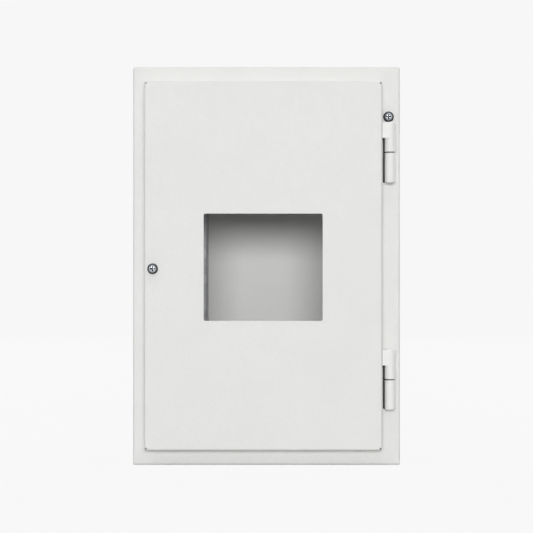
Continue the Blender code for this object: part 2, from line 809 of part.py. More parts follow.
def add_inside(zinc, plated, brass, blue, green):
    """Posts, rails and terminal bars, each with the screws and nuts that hold it."""
    nut_m6 = hex_nut("post_nut", zinc, M6_NUT_FLATS, M6_NUT_H, M6_R + NUT_CLEAR)
    nut_m5 = hex_nut("small_nut", zinc, M5_NUT_FLATS, M5_NUT_H, M5_R + NUT_CLEAR)
    short = pan_screw("rail_screw", zinc, M5_R, RAIL_SCREW_L, M5_HEAD_R, M5_HEAD_H, SMALL_ROUND)
    stack = 4 * SEAT + BAR_D + INSULATOR_H + POST_T + M5_NUT_H
    long = pan_screw(
        "bar_screw", zinc, M5_R, stack + BAR_SCREW_SPARE, M5_HEAD_R, M5_HEAD_H, SMALL_ROUND
    )
    behind = POST_FRONT - POST_T - SEAT - M5_NUT_H
    sides = (("left", -1), ("right", 1))
    ends = (
        ("upper", 1, "neutral", insulator("neutral_insulator", blue)),
        ("lower", -1, "earth", insulator("earth_insulator", green)),
    )
    for side, way in sides:
        add_post(f"post_{side}", plated, way)
    for level, up, bar, stand in ends:
        add_rail(f"din_rail_{level}", plated, up * RAIL_Z)
        add_bar(f"{bar}_bar", brass, up * BAR_Z)
        for side, way in sides:
            x = way * POST_FIX_X
            nut_at = at(x, POST_BACK + POST_T + SEAT, up * STUD_Z)
            add(f"post_nut_{level}_{side}", nut_m6, nut_at, FACE_FRONT)
            rail_seat = POST_FRONT + RAIL_T + 2 * SEAT
            add(f"rail_screw_{level}_{side}", short, at(x, rail_seat, up * RAIL_Z), FACE_FRONT)
            add(f"rail_nut_{level}_{side}", nut_m5, at(x, behind, up * RAIL_Z), FACE_FRONT)
            add(f"{bar}_insulator_{side}", stand, at(x, POST_FRONT + SEAT, up * BAR_Z))
            bar_seat = BAR_BACK + BAR_D + SEAT
            add(f"{bar}_bar_screw_{side}", long, at(x, bar_seat, up * BAR_Z), FACE_FRONT)
            add(f"{bar}_bar_nut_{side}", nut_m5, at(x, behind, up * BAR_Z), FACE_FRONT)


# The whole enclosure


def build():
    for obj in list(bpy.data.objects):
        bpy.data.objects.remove(obj, do_unlink=True)
    paint = material("powder_coat_grey", (0.78, 0.78, 0.76), 0.55)
    zinc = material("zinc_plated_screw", (0.62, 0.64, 0.68), 0.32, 1.0)
    plated = material("galvanised_sheet", (0.60, 0.61, 0.62), 0.42, 1.0)
    steel = material("bright_steel", (0.50, 0.50, 0.50), 0.35, 1.0)
    brass = material("brass", (0.75, 0.58, 0.25), 0.30, 1.0)
    blue = material("blue_plastic", (0.05, 0.16, 0.55), 0.45)
    green = material("green_plastic", (0.05, 0.35, 0.12), 0.45)
    axis = add_axis("door_hinge_axis", at(AXIS_X, AXIS_U, 0))
    add_body(paint)
    add_door(paint, axis)
    for level, z in (("upper", HINGE_Z), ("lower", -HINGE_Z)):
        hinge_door_half(f"hinge_{level}_door_half", paint, z, axis)
        hinge_frame_half(f"hinge_{level}_frame_half", paint, z)
        hinge_pin(f"hinge_{level}_pin", steel, z)
    add_lock(zinc, steel, axis)
    add_earth_terminals(zinc, axis)
    add_inside(zinc, plated, brass, blue, green)
    for obj in bpy.data.objects:
        if obj.type == "MESH":
            smooth_rounds(obj)


build()
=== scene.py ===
"""Looks, light and camera for a wall-mounted sheet-steel enclosure for circuit breakers.

The sections follow the enclosure as it is put together: the box with its weld studs, the posts,
rails and terminal bars in it, then the door with its hinges, its captive screw and the earth
screws, and last the studio around it.
"""

import math

import bmesh
import bpy
from mathutils import Matrix, Vector


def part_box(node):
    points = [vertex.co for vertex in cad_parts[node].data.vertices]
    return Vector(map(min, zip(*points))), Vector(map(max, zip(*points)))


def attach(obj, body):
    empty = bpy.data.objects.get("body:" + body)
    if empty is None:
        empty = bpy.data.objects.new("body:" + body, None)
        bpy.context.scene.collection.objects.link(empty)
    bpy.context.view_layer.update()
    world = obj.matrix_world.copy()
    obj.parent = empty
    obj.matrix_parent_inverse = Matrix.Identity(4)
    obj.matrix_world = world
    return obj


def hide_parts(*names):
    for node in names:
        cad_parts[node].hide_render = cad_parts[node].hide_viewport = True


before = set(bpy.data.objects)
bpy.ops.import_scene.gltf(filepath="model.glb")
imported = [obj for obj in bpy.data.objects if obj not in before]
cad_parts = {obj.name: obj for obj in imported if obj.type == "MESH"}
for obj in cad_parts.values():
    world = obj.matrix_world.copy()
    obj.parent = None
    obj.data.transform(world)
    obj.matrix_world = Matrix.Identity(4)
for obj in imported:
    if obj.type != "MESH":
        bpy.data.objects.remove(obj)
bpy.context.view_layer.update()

MM = 0.001

# Box: one folded and welded shell of 1.2 mm sheet steel, with a lip all round its mouth.
# It is powder coated in light grey, which cures to a fine orange peel and rounds each edge.
# The lip in the narrow slot beside each hinge knuckle is painted dark there, as painted shade.


def add_node(tree, kind, inputs=None, **settings):
    """A node whose inputs are set to values, or joined to sockets or to a node's first output."""
    made = tree.nodes.new(kind)
    for name, value in settings.items():
        setattr(made, name, value)
    for name, value in (inputs or {}).items():
        if isinstance(value, bpy.types.Node):
            value = value.outputs[0]
        if isinstance(value, bpy.types.NodeSocket):
            tree.links.new(value, made.inputs[name])
        else:
            made.inputs[name].default_value = value
    return made


def worked_out(tree, operation, *values):
    """The result of one sum between sockets and numbers."""
    return add_node(tree, "ShaderNodeMath", dict(enumerate(values)), operation=operation).outputs[0]


def vector_worked_out(tree, operation, *values):
    """The result of one sum between places."""
    step = add_node(tree, "ShaderNodeVectorMath", dict(enumerate(values)), operation=operation)
    return step.outputs["Value" if operation == "LENGTH" else "Vector"]


def here(tree):
    """Where a point of the surface lies on the enclosure."""
    return add_node(tree, "ShaderNodeTexCoord").outputs["Object"]


def noise(tree, place, scale, detail=2.0, roughness=0.5):
    """Soft random patches, so many to the metre."""
    inputs = {"Vector": place, "Scale": scale, "Detail": detail, "Roughness": roughness}
    return add_node(tree, "ShaderNodeTexNoise", inputs).outputs["Fac"]


def ranged(tree, value, start, end, low=0.0, high=1.0, blend="LINEAR"):
    """A value between low and high, carried over to between start and end."""
    ends = {"Value": value, "From Min": low, "From Max": high, "To Min": start, "To Max": end}
    return add_node(tree, "ShaderNodeMapRange", ends, interpolation_type=blend).outputs["Result"]


def shader_group(name, inputs):
    """A node group for materials, and the node that hands out its named inputs."""
    group = bpy.data.node_groups.new(name, "ShaderNodeTree")
    for label, default in inputs.items():
        kind = "Vector" if isinstance(default, tuple) else "Float"
        socket = group.interface.new_socket(label, in_out="INPUT", socket_type="NodeSocket" + kind)
        socket.default_value = default
    return group, add_node(group, "NodeGroupInput")


def end_group(group, results):
    """Ends a node group in its named outputs."""
    for label in results:
        group.interface.new_socket(label, in_out="OUTPUT", socket_type="NodeSocketFloat")
    add_node(group, "NodeGroupOutput", results)
    return group


def orange_peel_group():
    """Height, tone and roughness of a cured coating, for a peel of a given size in metres."""
    sizes = {"Peel Size": 0.003, "Grain": 0.35, "Clouding": 0.02}
    group, given = shader_group("orange_peel", sizes)
    place = here(group)
    per_peel = worked_out(group, "DIVIDE", 1.0, given.outputs["Peel Size"])
    waves = noise(group, place, per_peel, 1.5, 0.4)
    finer = noise(group, place, worked_out(group, "MULTIPLY", per_peel, 2.7), 1.0)
    height = worked_out(group, "MULTIPLY_ADD", finer, given.outputs["Grain"], waves)
    clouds = worked_out(group, "SUBTRACT", noise(group, place, 14.0), 0.5)
    tone = worked_out(group, "MULTIPLY_ADD", clouds, given.outputs["Clouding"], 0.5)
    rough = ranged(group, waves, 0.46, 0.6, low=0.3, high=0.7)
    return end_group(group, {"Height": height, "Tone": tone, "Roughness": rough})


def joint_and_shade_patch_group():
    """One inside a block of space, fading to nothing over an uneven margin round it."""
    nowhere = (0.0, 0.0, 0.0)
    sizes = {"Centre": nowhere, "Half Size": nowhere, "Fade": 0.0}
    group, given = shader_group("joint_and_shade_patch", sizes)
    place = here(group)
    away = vector_worked_out(group, "SUBTRACT", place, given.outputs["Centre"])
    size = vector_worked_out(group, "ABSOLUTE", away)
    past = vector_worked_out(group, "SUBTRACT", size, given.outputs["Half Size"])
    axes = add_node(group, "ShaderNodeSeparateXYZ", {0: past})
    widest = worked_out(group, "MAXIMUM", axes.outputs["X"], axes.outputs["Y"])
    furthest = worked_out(group, "MAXIMUM", widest, axes.outputs["Z"])
    margin = worked_out(group, "MULTIPLY", noise(group, place, 420.0), given.outputs["Fade"])
    edge = worked_out(group, "SUBTRACT", furthest, margin)
    mask = ranged(group, edge, 1.0, 0.0, high=given.outputs["Fade"], blend="SMOOTHSTEP")
    return end_group(group, {"Mask": mask})


def surface(name, colour, metallic=0.0):
    """A material with its nodes and its shader, to plug patterns into."""
    made = bpy.data.materials.new(name)
    made.use_nodes = True
    shader = made.node_tree.nodes["Principled BSDF"]
    shader.inputs["Base Color"].default_value = (*colour, 1.0)
    shader.inputs["Metallic"].default_value = metallic
    made.diffuse_color = (*colour, 1.0)
    return made, made.node_tree, shader


def mixed(tree, factor, first, second):
    """A colour between two others."""
    ends = {"Factor": factor, "A": first, "B": second}
    return add_node(tree, "ShaderNodeMix", ends, data_type="RGBA").outputs["Result"]


def shade_between(tree, shader, factor, low, high):
    """Base colour between two tones, by a factor from a pattern."""
    tone = mixed(tree, factor, (*low, 1.0), (*high, 1.0))
    tree.links.new(tone, shader.inputs["Base Color"])
    return tone


def raise_by(tree, shader, height, depth):
    """A bump of a given depth in metres."""
    bump = add_node(tree, "ShaderNodeBump", {"Distance": depth, "Height": height})
    tree.links.new(bump.outputs["Normal"], shader.inputs["Normal"])


orange_peel = orange_peel_group()
joint_and_shade_patch = joint_and_shade_patch_group()
COAT_LOW = (0.762, 0.762, 0.746)
COAT_HIGH = (0.794, 0.794, 0.778)
PEEL = 4.4 * MM
PEEL_DEPTH = 0.2 * MM
DARK_JOINT_AND_SHADE = (0.02, 0.019, 0.018)


def film_of(tree, peel, clouding):
    """The orange peel of one coating or moulding."""
    sizes = {"Peel Size": peel, "Clouding": clouding}
    return add_node(tree, "ShaderNodeGroup", sizes, node_tree=orange_peel)


def patch_mask(tree, centre, half, fade):
    """One inside a block of space, for a dark joint, or for painted shade in a slot or a recess."""
    sizes = {"Centre": centre, "Half Size": half, "Fade": fade}
    return add_node(tree, "ShaderNodeGroup", sizes, node_tree=joint_and_shade_patch).outputs["Mask"]


def coating(name, low, high, patches=()):
    """A powder coat: orange peel over a colour that hardly varies, painted dark in any patches
    given, for dark joints and for painted shade.
    """
    made, tree, shader = surface(name, high)
    film = film_of(tree, PEEL, 1.2)
    tone = shade_between(tree, shader, film.outputs["Tone"], low, high)
    tree.links.new(film.outputs["Roughness"], shader.inputs["Roughness"])
    raise_by(tree, shader, film.outputs["Height"], PEEL_DEPTH)
    for centre, half in patches:
        dark_patch = patch_mask(tree, centre, half, 0.5 * MM)
        tone = mixed(tree, dark_patch, tone, (*DARK_JOINT_AND_SHADE, 1.0))
        tree.links.new(tone, shader.inputs["Base Color"])
    return made


ARM_DROP = 0.9 * MM
ARM_H = 17.2 * MM
SLOT_SHIFT = 2.0 * MM


def shaded_slot_floor(level):
    """The strip of lip between the door's edge and a hinge's knuckle, up to the arm over it."""
    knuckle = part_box(f"hinge_{level}_frame_half")
    under_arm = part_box(f"hinge_{level}_door_half")[1].z - (ARM_DROP + ARM_H)
    left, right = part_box("door_panel")[1].x + SLOT_SHIFT, knuckle[0].x + SLOT_SHIFT
    low, high = knuckle[0].z + MM, under_arm + MM
    centre = ((left + right) / 2, knuckle[1].y, (low + high) / 2)
    return centre, ((right - left) / 2, MM, (high - low) / 2)


powder_coat = coating("powder_coat", COAT_LOW, COAT_HIGH)
# Painted shade: the box's coat is painted dark on the lip in the slot beside each hinge knuckle.
shaded_slot_floors = [shaded_slot_floor("upper"), shaded_slot_floor("lower")]
box_coat = coating("powder_coat_of_box", COAT_LOW, COAT_HIGH, shaded_slot_floors)


def merged(node):
    """A modelled piece as one welded skin, with flat faces whole again."""
    bm = bmesh.new()
    bm.from_mesh(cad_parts[node].data)
    bmesh.ops.remove_doubles(bm, verts=bm.verts, dist=2e-6)
    bmesh.ops.dissolve_limit(
        bm, angle_limit=math.radians(0.4), verts=bm.verts[:], edges=bm.edges[:]
    )
    return bm


def plain_mesh(obj, name):
    """The finished mesh of an object with its modifiers, which it then loses."""
    graph = bpy.context.evaluated_depsgraph_get()
    mesh = bpy.data.meshes.new_from_object(obj.evaluated_get(graph))
    obj.modifiers.clear()
    mesh.name = name
    return mesh


def poured(name, bm):
    """The mesh of a shape, which can't be worked on after that."""
    mesh = bpy.data.meshes.new(name)
    bm.to_mesh(mesh)
    bm.free()
    return mesh


def held(name, mesh):
    """An object of the scene that holds a mesh."""
    obj = bpy.data.objects.new(name, mesh)
    bpy.context.scene.collection.objects.link(obj)
    return obj


SMOOTH_UP_TO = math.radians(38)
SMOOTH_WHERE_EASED = math.radians(89)
EASED_FROM = math.radians(40)


def eased(bm, name, edge, steps=2):
    """A mesh in which each sharp edge is rounded, as a coating or a die leaves it."""
    mesh = poured(name, bm)
    mesh.materials.clear()
    obj = held(name, mesh)
    if edge:
        ease = obj.modifiers.new("eased_edges", "BEVEL")
        ease.width = edge
        ease.segments = steps
        ease.limit_method = "ANGLE"
        ease.angle_limit = EASED_FROM
        ease.use_clamp_overlap = True
    level = obj.modifiers.new("flat_faces", "WEIGHTED_NORMAL")
    level.keep_sharp = True
    level.weight = 60
    mesh.shade_smooth()
    mesh.set_sharp_from_angle(angle=SMOOTH_WHERE_EASED if edge else SMOOTH_UP_TO)
    solid = plain_mesh(obj, name)
    bpy.data.objects.remove(obj)
    return solid


def fit(name, mesh, look, body, slot, *nodes):
    """Puts a finished mesh on its body in place of the nodes that it stands for."""
    mesh.materials.clear()
    mesh.materials.append(look)
    piece = held(name, mesh)
    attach(piece, body)
    if nodes:
        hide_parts(*nodes)


COAT_EDGE = 0.22 * MM
box_mesh = eased(merged("body_shell"), "box_skin", COAT_EDGE)
fit("box_skin", box_mesh, box_coat, "enclosure", "powder_coat_grey", "body_shell")

# Weld studs: four M6 studs of copper-flashed steel, welded to the inside of the box's back before
# it is coated, and masked while it is. Their rolled thread stands out from the plain shank.


def new_tree(name, inputs):
    """A Geometry Nodes tree with named inputs, of which the last is its material."""
    tree = bpy.data.node_groups.new(name, "GeometryNodeTree")
    sockets = [("Geometry", "Geometry"), *inputs, ("Material", "Material")]
    for label, kind in sockets:
        tree.interface.new_socket(label, in_out="INPUT", socket_type="NodeSocket" + kind)
    tree.interface.new_socket("Geometry", in_out="OUTPUT", socket_type="NodeSocketGeometry")
    return tree, add_node(tree, "NodeGroupInput")


def end_tree(tree, given, geometry):
    """Ends a tree in real geometry that wears the given material."""
    real = add_node(tree, "GeometryNodeRealizeInstances", {"Geometry": geometry})
    look = given.outputs["Material"]
    dressed = add_node(tree, "GeometryNodeSetMaterial", {"Geometry": real, "Material": look})
    add_node(tree, "NodeGroupOutput", {"Geometry": dressed})
    return tree


def grown(name, tree, values, start=None):
    """The plain mesh that a tree makes with these values, from a start mesh if there is one."""
    obj = held(name, start or bpy.data.meshes.new(name))
    maker = obj.modifiers.new(name, "NODES")
    maker.node_group = tree
    for item in tree.interface.items_tree:
        if item.in_out == "INPUT" and item.name in values:
            maker[item.identifier] = values[item.name]
    mesh = plain_mesh(obj, name)
    bpy.data.objects.remove(obj)
    return mesh


THREAD_SIZES = ("Outer Radius", "Root Radius", "Length", "Pitch")


def rolled_thread_tree():
    """A threaded rod along Z: a core, and a ridge that runs round it from end to end."""
    tree, given = new_tree("rolled_thread", [(label, "Float") for label in THREAD_SIZES])
    outer, root, length, pitch = (given.outputs[label] for label in THREAD_SIZES)
    ridge = worked_out(tree, "SUBTRACT", outer, root)
    run = worked_out(tree, "SUBTRACT", length, worked_out(tree, "MULTIPLY", ridge, 2.0))
    turns = worked_out(tree, "DIVIDE", run, pitch)
    coil = {"Rotations": turns, "Start Radius": root, "End Radius": root, "Height": run}
    helix = add_node(tree, "GeometryNodeCurveSpiral", {"Resolution": 20, **coil})
    upright = add_node(tree, "GeometryNodeSetCurveNormal", {"Curve": helix}, mode="Z_UP")
    diamond = {"Resolution": 4, "Radius": ridge}
    profile = add_node(tree, "GeometryNodeCurvePrimitiveCircle", diamond)
    swept = {"Curve": upright, "Profile Curve": profile, "Fill Caps": True}
    thread = add_node(tree, "GeometryNodeCurveToMesh", swept)
    rod = {"Vertices": 24, "Radius": root, "Depth": length}
    core = add_node(tree, "GeometryNodeMeshCylinder", rod)
    both = add_node(tree, "GeometryNodeJoinGeometry")
    for geometry, lift in ((thread, ridge), (core, worked_out(tree, "MULTIPLY", length, 0.5))):
        up = add_node(tree, "ShaderNodeCombineXYZ", {"Z": lift})
        place = {"Geometry": geometry, "Translation": up}
        moved = add_node(tree, "GeometryNodeTransform", place)
        tree.links.new(moved.outputs["Geometry"], both.inputs["Geometry"])
    return end_tree(tree, given, both)


rolled_thread = rolled_thread_tree()


def threaded_rod(name, look, *sizes):
    """A rod with a rolled thread, up Z from the origin, its sizes in the tree's order."""
    return grown(name, rolled_thread, {**dict(zip(THREAD_SIZES, sizes)), "Material": look})


def plating(name, low, high, smooth, dull):
    """Plated steel: bright metal under a thin passivation that clouds it a little."""
    made, tree, shader = surface(name, high, 1.0)
    cloud = noise(tree, here(tree), 260.0, 3.0)
    shade_between(tree, shader, cloud, low, high)
    tree.links.new(ranged(tree, cloud, smooth, dull), shader.inputs["Roughness"])
    raise_by(tree, shader, cloud, 0.02 * MM)
    return made


copper_flash = plating("copper_flash", (0.5, 0.3, 0.2), (0.66, 0.42, 0.3), 0.32, 0.46)
SHEET = 1.2 * MM
STUD_OUT_R, STUD_CORE_R, STUD_L = 3.2 * MM, 2.9 * MM, 14.8 * MM
M6_PITCH = 1.0 * MM
TO_FRONT = Matrix.Rotation(math.radians(90), 4, "X")
TO_BACK = Matrix.Rotation(math.radians(-90), 4, "X")
CORNERS = [f"{level}_{side}" for level in ("upper", "lower") for side in ("left", "right")]
POST_NUTS = ["post_nut_" + corner for corner in CORNERS]


def middle(node):
    """The middle of a node's box."""
    low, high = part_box(node)
    return (low + high) / 2


stud_thread = threaded_rod("stud_thread", copper_flash, STUD_OUT_R, STUD_CORE_R, STUD_L, M6_PITCH)
back_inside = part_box("body_shell")[1].y - SHEET
studs = bmesh.new()
for node in POST_NUTS:
    root_at = Vector((middle(node).x, back_inside, middle(node).z))
    one = stud_thread.copy()
    one.transform(Matrix.Translation(root_at) @ TO_FRONT)
    studs.from_mesh(one)
stud_mesh = poured("weld_stud_threads", studs)
fit("weld_stud_threads", stud_mesh, copper_flash, "enclosure", "bright_steel")

# Posts: two channels folded from galvanised strip, with a slotted front flange. They hang on the
# weld studs, each held by two zinc-plated nuts. The zinc bath leaves a faint spangle.


def shape_of(mesh):
    """A mesh as an open shape to work on."""
    bm = bmesh.new()
    bm.from_mesh(mesh)
    return bm


def combined(name, bm, tools, operation):
    """A shape with others cut out of it or joined to it, one after another."""
    obj = held(name, poured(name, bm))
    for tool in tools:
        other = held(name + "_tool", poured(name + "_tool", tool))
        step = obj.modifiers.new("step", "BOOLEAN")
        step.operation = operation
        step.solver = "EXACT"
        step.object = other
        obj.data = plain_mesh(obj, name)
        bpy.data.objects.remove(other)
    shape = shape_of(obj.data)
    bpy.data.objects.remove(obj)
    return shape


def cut(name, bm, *tools):
    """A shape with others cut out of it."""
    shape = combined(name, bm, tools, "DIFFERENCE")
    bmesh.ops.remove_doubles(shape, verts=shape.verts, dist=1e-6)
    return shape


def bores(radius, start, end, axis, spots, segments=24):
    """A row of plain cylinders along an axis, to be cut out."""
    turn = Matrix.Rotation(math.radians(90), 3, "X") if axis == "y" else Matrix.Identity(3)
    halfway = (start + end) / 2
    bm = bmesh.new()
    for across, along in spots:
        made = bmesh.ops.create_cone(
            bm, segments=segments, radius1=radius, radius2=radius, depth=end - start, cap_ends=True
        )["verts"]
        bmesh.ops.rotate(bm, matrix=turn, verts=made)
        centre = (across, halfway, along) if axis == "y" else (across, along, halfway)
        bmesh.ops.translate(bm, verts=made, vec=centre)
    return bm


def end_in_copies(tree, given, points):
    """Ends a tree in its piece on each point, turned about the front-to-back axis by chance."""
    source = add_node(tree, "GeometryNodeObjectInfo", {"Object": given.outputs["Piece"]})
    limits = {"Max": given.outputs["Turn"], "Seed": given.outputs["Seed"]}
    chance = add_node(tree, "FunctionNodeRandomValue", limits)
    about_y = add_node(tree, "ShaderNodeCombineXYZ", {"Y": chance.outputs["Value"]})
    copy = {"Points": points, "Instance": source.outputs["Geometry"], "Rotation": about_y}
    return end_tree(tree, given, add_node(tree, "GeometryNodeInstanceOnPoints", copy))


def row_tree():
    """A row of one piece from a first place."""
    inputs = [("Piece", "Object"), ("Count", "Int"), ("First", "Vector"), ("Step", "Vector")]
    tree, given = new_tree("row", inputs + [("Turn", "Float"), ("Seed", "Int")])
    line = {
        "Count": given.outputs["Count"],
        "Start Location": given.outputs["First"],
        "Offset": given.outputs["Step"],
    }
    return end_in_copies(tree, given, add_node(tree, "GeometryNodeMeshLine", line))


row_of = row_tree()


def copied(name, tree, piece, values, start=None):
    """The mesh that a tree makes of copies of one piece."""
    master = held(name + "_pattern", piece)
    mesh = grown(name, tree, {"Piece": master, **values}, start)
    bpy.data.objects.remove(master)
    return mesh


def in_row(name, piece, count, first, step, look, turn=0.0, seed=0):
    """The mesh of a row of copies of one piece."""
    values = {
        "Count": count,
        "First": first,
        "Step": step,
        "Turn": turn,
        "Seed": seed,
        "Material": look,
    }
    return copied(name, row_of, piece, values)


def drawn(outline, start, end, axis):
    """A closed prism: an outline in two axes, in their order, drawn along the third."""
    place = {
        "x": lambda a, b, along: (along, a, b),
        "y": lambda a, b, along: (a, along, b),
        "z": lambda a, b, along: (a, b, along),
    }[axis]
    bm = bmesh.new()
    face = bm.faces.new([bm.verts.new(place(a, b, start)) for a, b in outline])
    made = bmesh.ops.extrude_face_region(bm, geom=[face])["geom"]
    moved = [item for item in made if isinstance(item, bmesh.types.BMVert)]
    bmesh.ops.translate(bm, vec=place(0, 0, end - start), verts=moved)
    bmesh.ops.recalc_face_normals(bm, faces=bm.faces)
    return bm


def strip_section(path, thickness, inner_radius, steps=8):
    """The closed section of a strip folded along a centre line of straight runs."""
    radius = inner_radius + thickness / 2
    corners = [Vector(point) for point in path]
    line = [(corners[0], (corners[1] - corners[0]).normalized())]
    for before, corner, after in zip(corners, corners[1:], corners[2:]):
        way_in, way_out = (corner - before).normalized(), (after - corner).normalized()
        turn = math.atan2(way_in.x * way_out.y - way_in.y * way_out.x, way_in.dot(way_out))
        side = math.copysign(1.0, turn)
        begin = corner - way_in * radius * math.tan(abs(turn) / 2)
        centre = begin + Vector((-way_in.y, way_in.x)) * side * radius
        for i in range(steps + 1):
            way = Matrix.Rotation(turn * i / steps, 2) @ way_in
            line.append((centre + Vector((way.y, -way.x)) * side * radius, way))
    line.append((corners[-1], (corners[-1] - corners[-2]).normalized()))
    half = thickness / 2
    left = [(p.x - d.y * half, p.y + d.x * half) for p, d in line]
    right = [(p.x + d.y * half, p.y - d.x * half) for p, d in line]
    return left + right[::-1]


def slot_punch(name, length, width, depth, upright, steps=12):
    """The punch of a round-ended slot, through from front to back."""
    reach, radius = (length - width) / 2, width / 2
    ends = []
    for centre, first in ((reach, -90), (-reach, 90)):
        angles = [math.radians(first + 180 * i / steps) for i in range(steps + 1)]
        ends += [(centre + radius * math.cos(a), radius * math.sin(a)) for a in angles]
    outline = [(b, a) for a, b in ends] if upright else ends
    return poured(name, drawn(outline, -depth, depth, "y"))


def sheet_zinc():
    """Galvanised strip: spangle in soft patches, dull with time."""
    made, tree, shader = surface("galvanised_strip", (0.6, 0.61, 0.62), 0.35)
    cells = {"Vector": here(tree), "Scale": 140.0, "Randomness": 0.9}
    spangle = add_node(tree, "ShaderNodeTexVoronoi", cells)
    single = add_node(tree, "ShaderNodeSeparateColor", {"Color": spangle.outputs["Color"]})
    shade_between(tree, shader, single.outputs["Red"], (0.5, 0.51, 0.52), (0.62, 0.63, 0.64))
    dull = ranged(tree, single.outputs["Green"], 0.55, 0.68)
    tree.links.new(dull, shader.inputs["Roughness"])
    return made


galvanised = sheet_zinc()
STRIP_EDGE = 0.12 * MM
STRIP_PITCH = 25.0 * MM
POST_T, POST_FOLD = 1.5 * MM, 1.0 * MM
POST_SLOT_L, POST_SLOT_W = 14.0 * MM, 6.5 * MM
POST_SLOTS_EACH_WAY = 7
STUD_HOLE_R = 3.4 * MM
for side, away in (("left", -1), ("right", 1)):
    node = "post_" + side
    low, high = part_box(node)
    outer, inner = (low.x, high.x) if away < 0 else (high.x, low.x)
    web = inner + away * POST_T / 2
    rear, front = high.y - POST_T / 2, low.y + POST_T / 2
    path = [(outer, rear), (web, rear), (web, front), (outer, front)]
    channel = drawn(strip_section(path, POST_T, POST_FOLD), low.z, high.z, "z")
    fixing = middle("post_nut_upper_" + side)
    slots = in_row(
        node + "_slots",
        slot_punch(node + "_punch", POST_SLOT_L, POST_SLOT_W, 2 * POST_T, upright=True),
        2 * POST_SLOTS_EACH_WAY + 1,
        (fixing.x, front, middle(node).z - POST_SLOTS_EACH_WAY * STRIP_PITCH),
        (0.0, 0.0, STRIP_PITCH),
        galvanised,
    )
    spots = [(fixing.x, middle(f"post_nut_{level}_{side}").z) for level in ("upper", "lower")]
    holes = bores(STUD_HOLE_R, rear - 2 * POST_T, rear + 2 * POST_T, "y", spots)
    strip = eased(cut(node, channel, shape_of(slots), holes), node + "_strip", STRIP_EDGE)
    fit(node + "_strip", strip, galvanised, "enclosure", "galvanised_sheet", node)


def on_seats_tree():
    """Sets one piece on each point of the start mesh."""
    inputs = [("Piece", "Object"), ("Turn", "Float"), ("Seed", "Int")]
    tree, given = new_tree("set_on_seats", inputs)
    return end_in_copies(tree, given, given.outputs["Geometry"])


on_seats = on_seats_tree()
zinc = plating("blue_zinc", (0.46, 0.49, 0.54), (0.62, 0.64, 0.68), 0.24, 0.4)


def set_on(name, pattern, seats, nodes, seed, body="enclosure"):
    """Lays zinc-plated copies of a pattern on seats as one piece, in place of their nodes."""
    points = bpy.data.meshes.new(name + "_seats")
    points.from_pydata(seats, [], [])
    values = {"Turn": math.tau, "Seed": seed, "Material": zinc}
    mesh = copied(name, on_seats, pattern.copy(), values, points)
    fit(name, mesh, zinc, body, "zinc_plated", *nodes)


def turned(profile, segments=48, closed=False):
    """A profile of (radius, height) turned about Z, as a lathe would."""
    bm = bmesh.new()
    verts = [bm.verts.new((radius, 0.0, height)) for radius, height in profile]
    pairs = list(zip(verts, verts[1:]))
    if closed:
        pairs.append((verts[-1], verts[0]))
    edges = [bm.edges.new(pair) for pair in pairs]
    bmesh.ops.spin(
        bm,
        geom=verts + edges,
        cent=(0, 0, 0),
        axis=(0, 0, 1),
        angle=math.tau,
        steps=segments,
        use_duplicate=False,
    )
    bmesh.ops.remove_doubles(bm, verts=bm.verts, dist=1e-7)
    bmesh.ops.recalc_face_normals(bm, faces=bm.faces)
    return bm


def hex_nut(name, flats, height, bore):
    """A six-sided nut, turned off at its corners and chamfered into its bore."""
    bm = bmesh.new()
    corner = flats / 2 / math.cos(math.radians(30))
    bmesh.ops.create_cone(
        bm, segments=6, radius1=corner, radius2=corner, depth=height, cap_ends=True
    )
    bmesh.ops.translate(bm, verts=bm.verts, vec=(0, 0, height / 2))
    wide = 1.2 * corner
    low, rise = 0.96 * flats / 2, 0.58 * (wide - 0.96 * flats / 2)
    rims = []
    for base, way in ((0.0, 1.0), (height, -1.0)):
        above, below = base + way * rise, base - way * rise
        outside = [(low, base), (wide, above), (wide, below), (low, below)]
        rims.append(turned(outside, 48, closed=True))
    inside = [(0, -height), (bore, -height), (bore, 2 * height), (0, 2 * height)]
    shape = cut(name, bm, *rims, turned(inside, 32))
    mesh = eased(shape, name, 0.1 * MM, 1)
    mesh.transform(TO_FRONT)
    return mesh


M6_NUT = hex_nut("m6_nut", 10.0 * MM, 5.0 * MM, 3.3 * MM)
M5_NUT = hex_nut("m5_nut", 8.0 * MM, 4.0 * MM, 2.8 * MM)


def rear_seats(nodes):
    """Where the rear faces of these nodes stand."""
    return [(middle(node).x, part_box(node)[1].y, middle(node).z) for node in nodes]


set_on("post_nuts", M6_NUT, rear_seats(POST_NUTS), POST_NUTS, seed=3)

# Rails: two 35 mm top-hat rails of galvanised steel across the posts, which the breakers clip on.
# A pan-head M5 screw goes through a slot of the rail and of the post into a nut at each crossing.

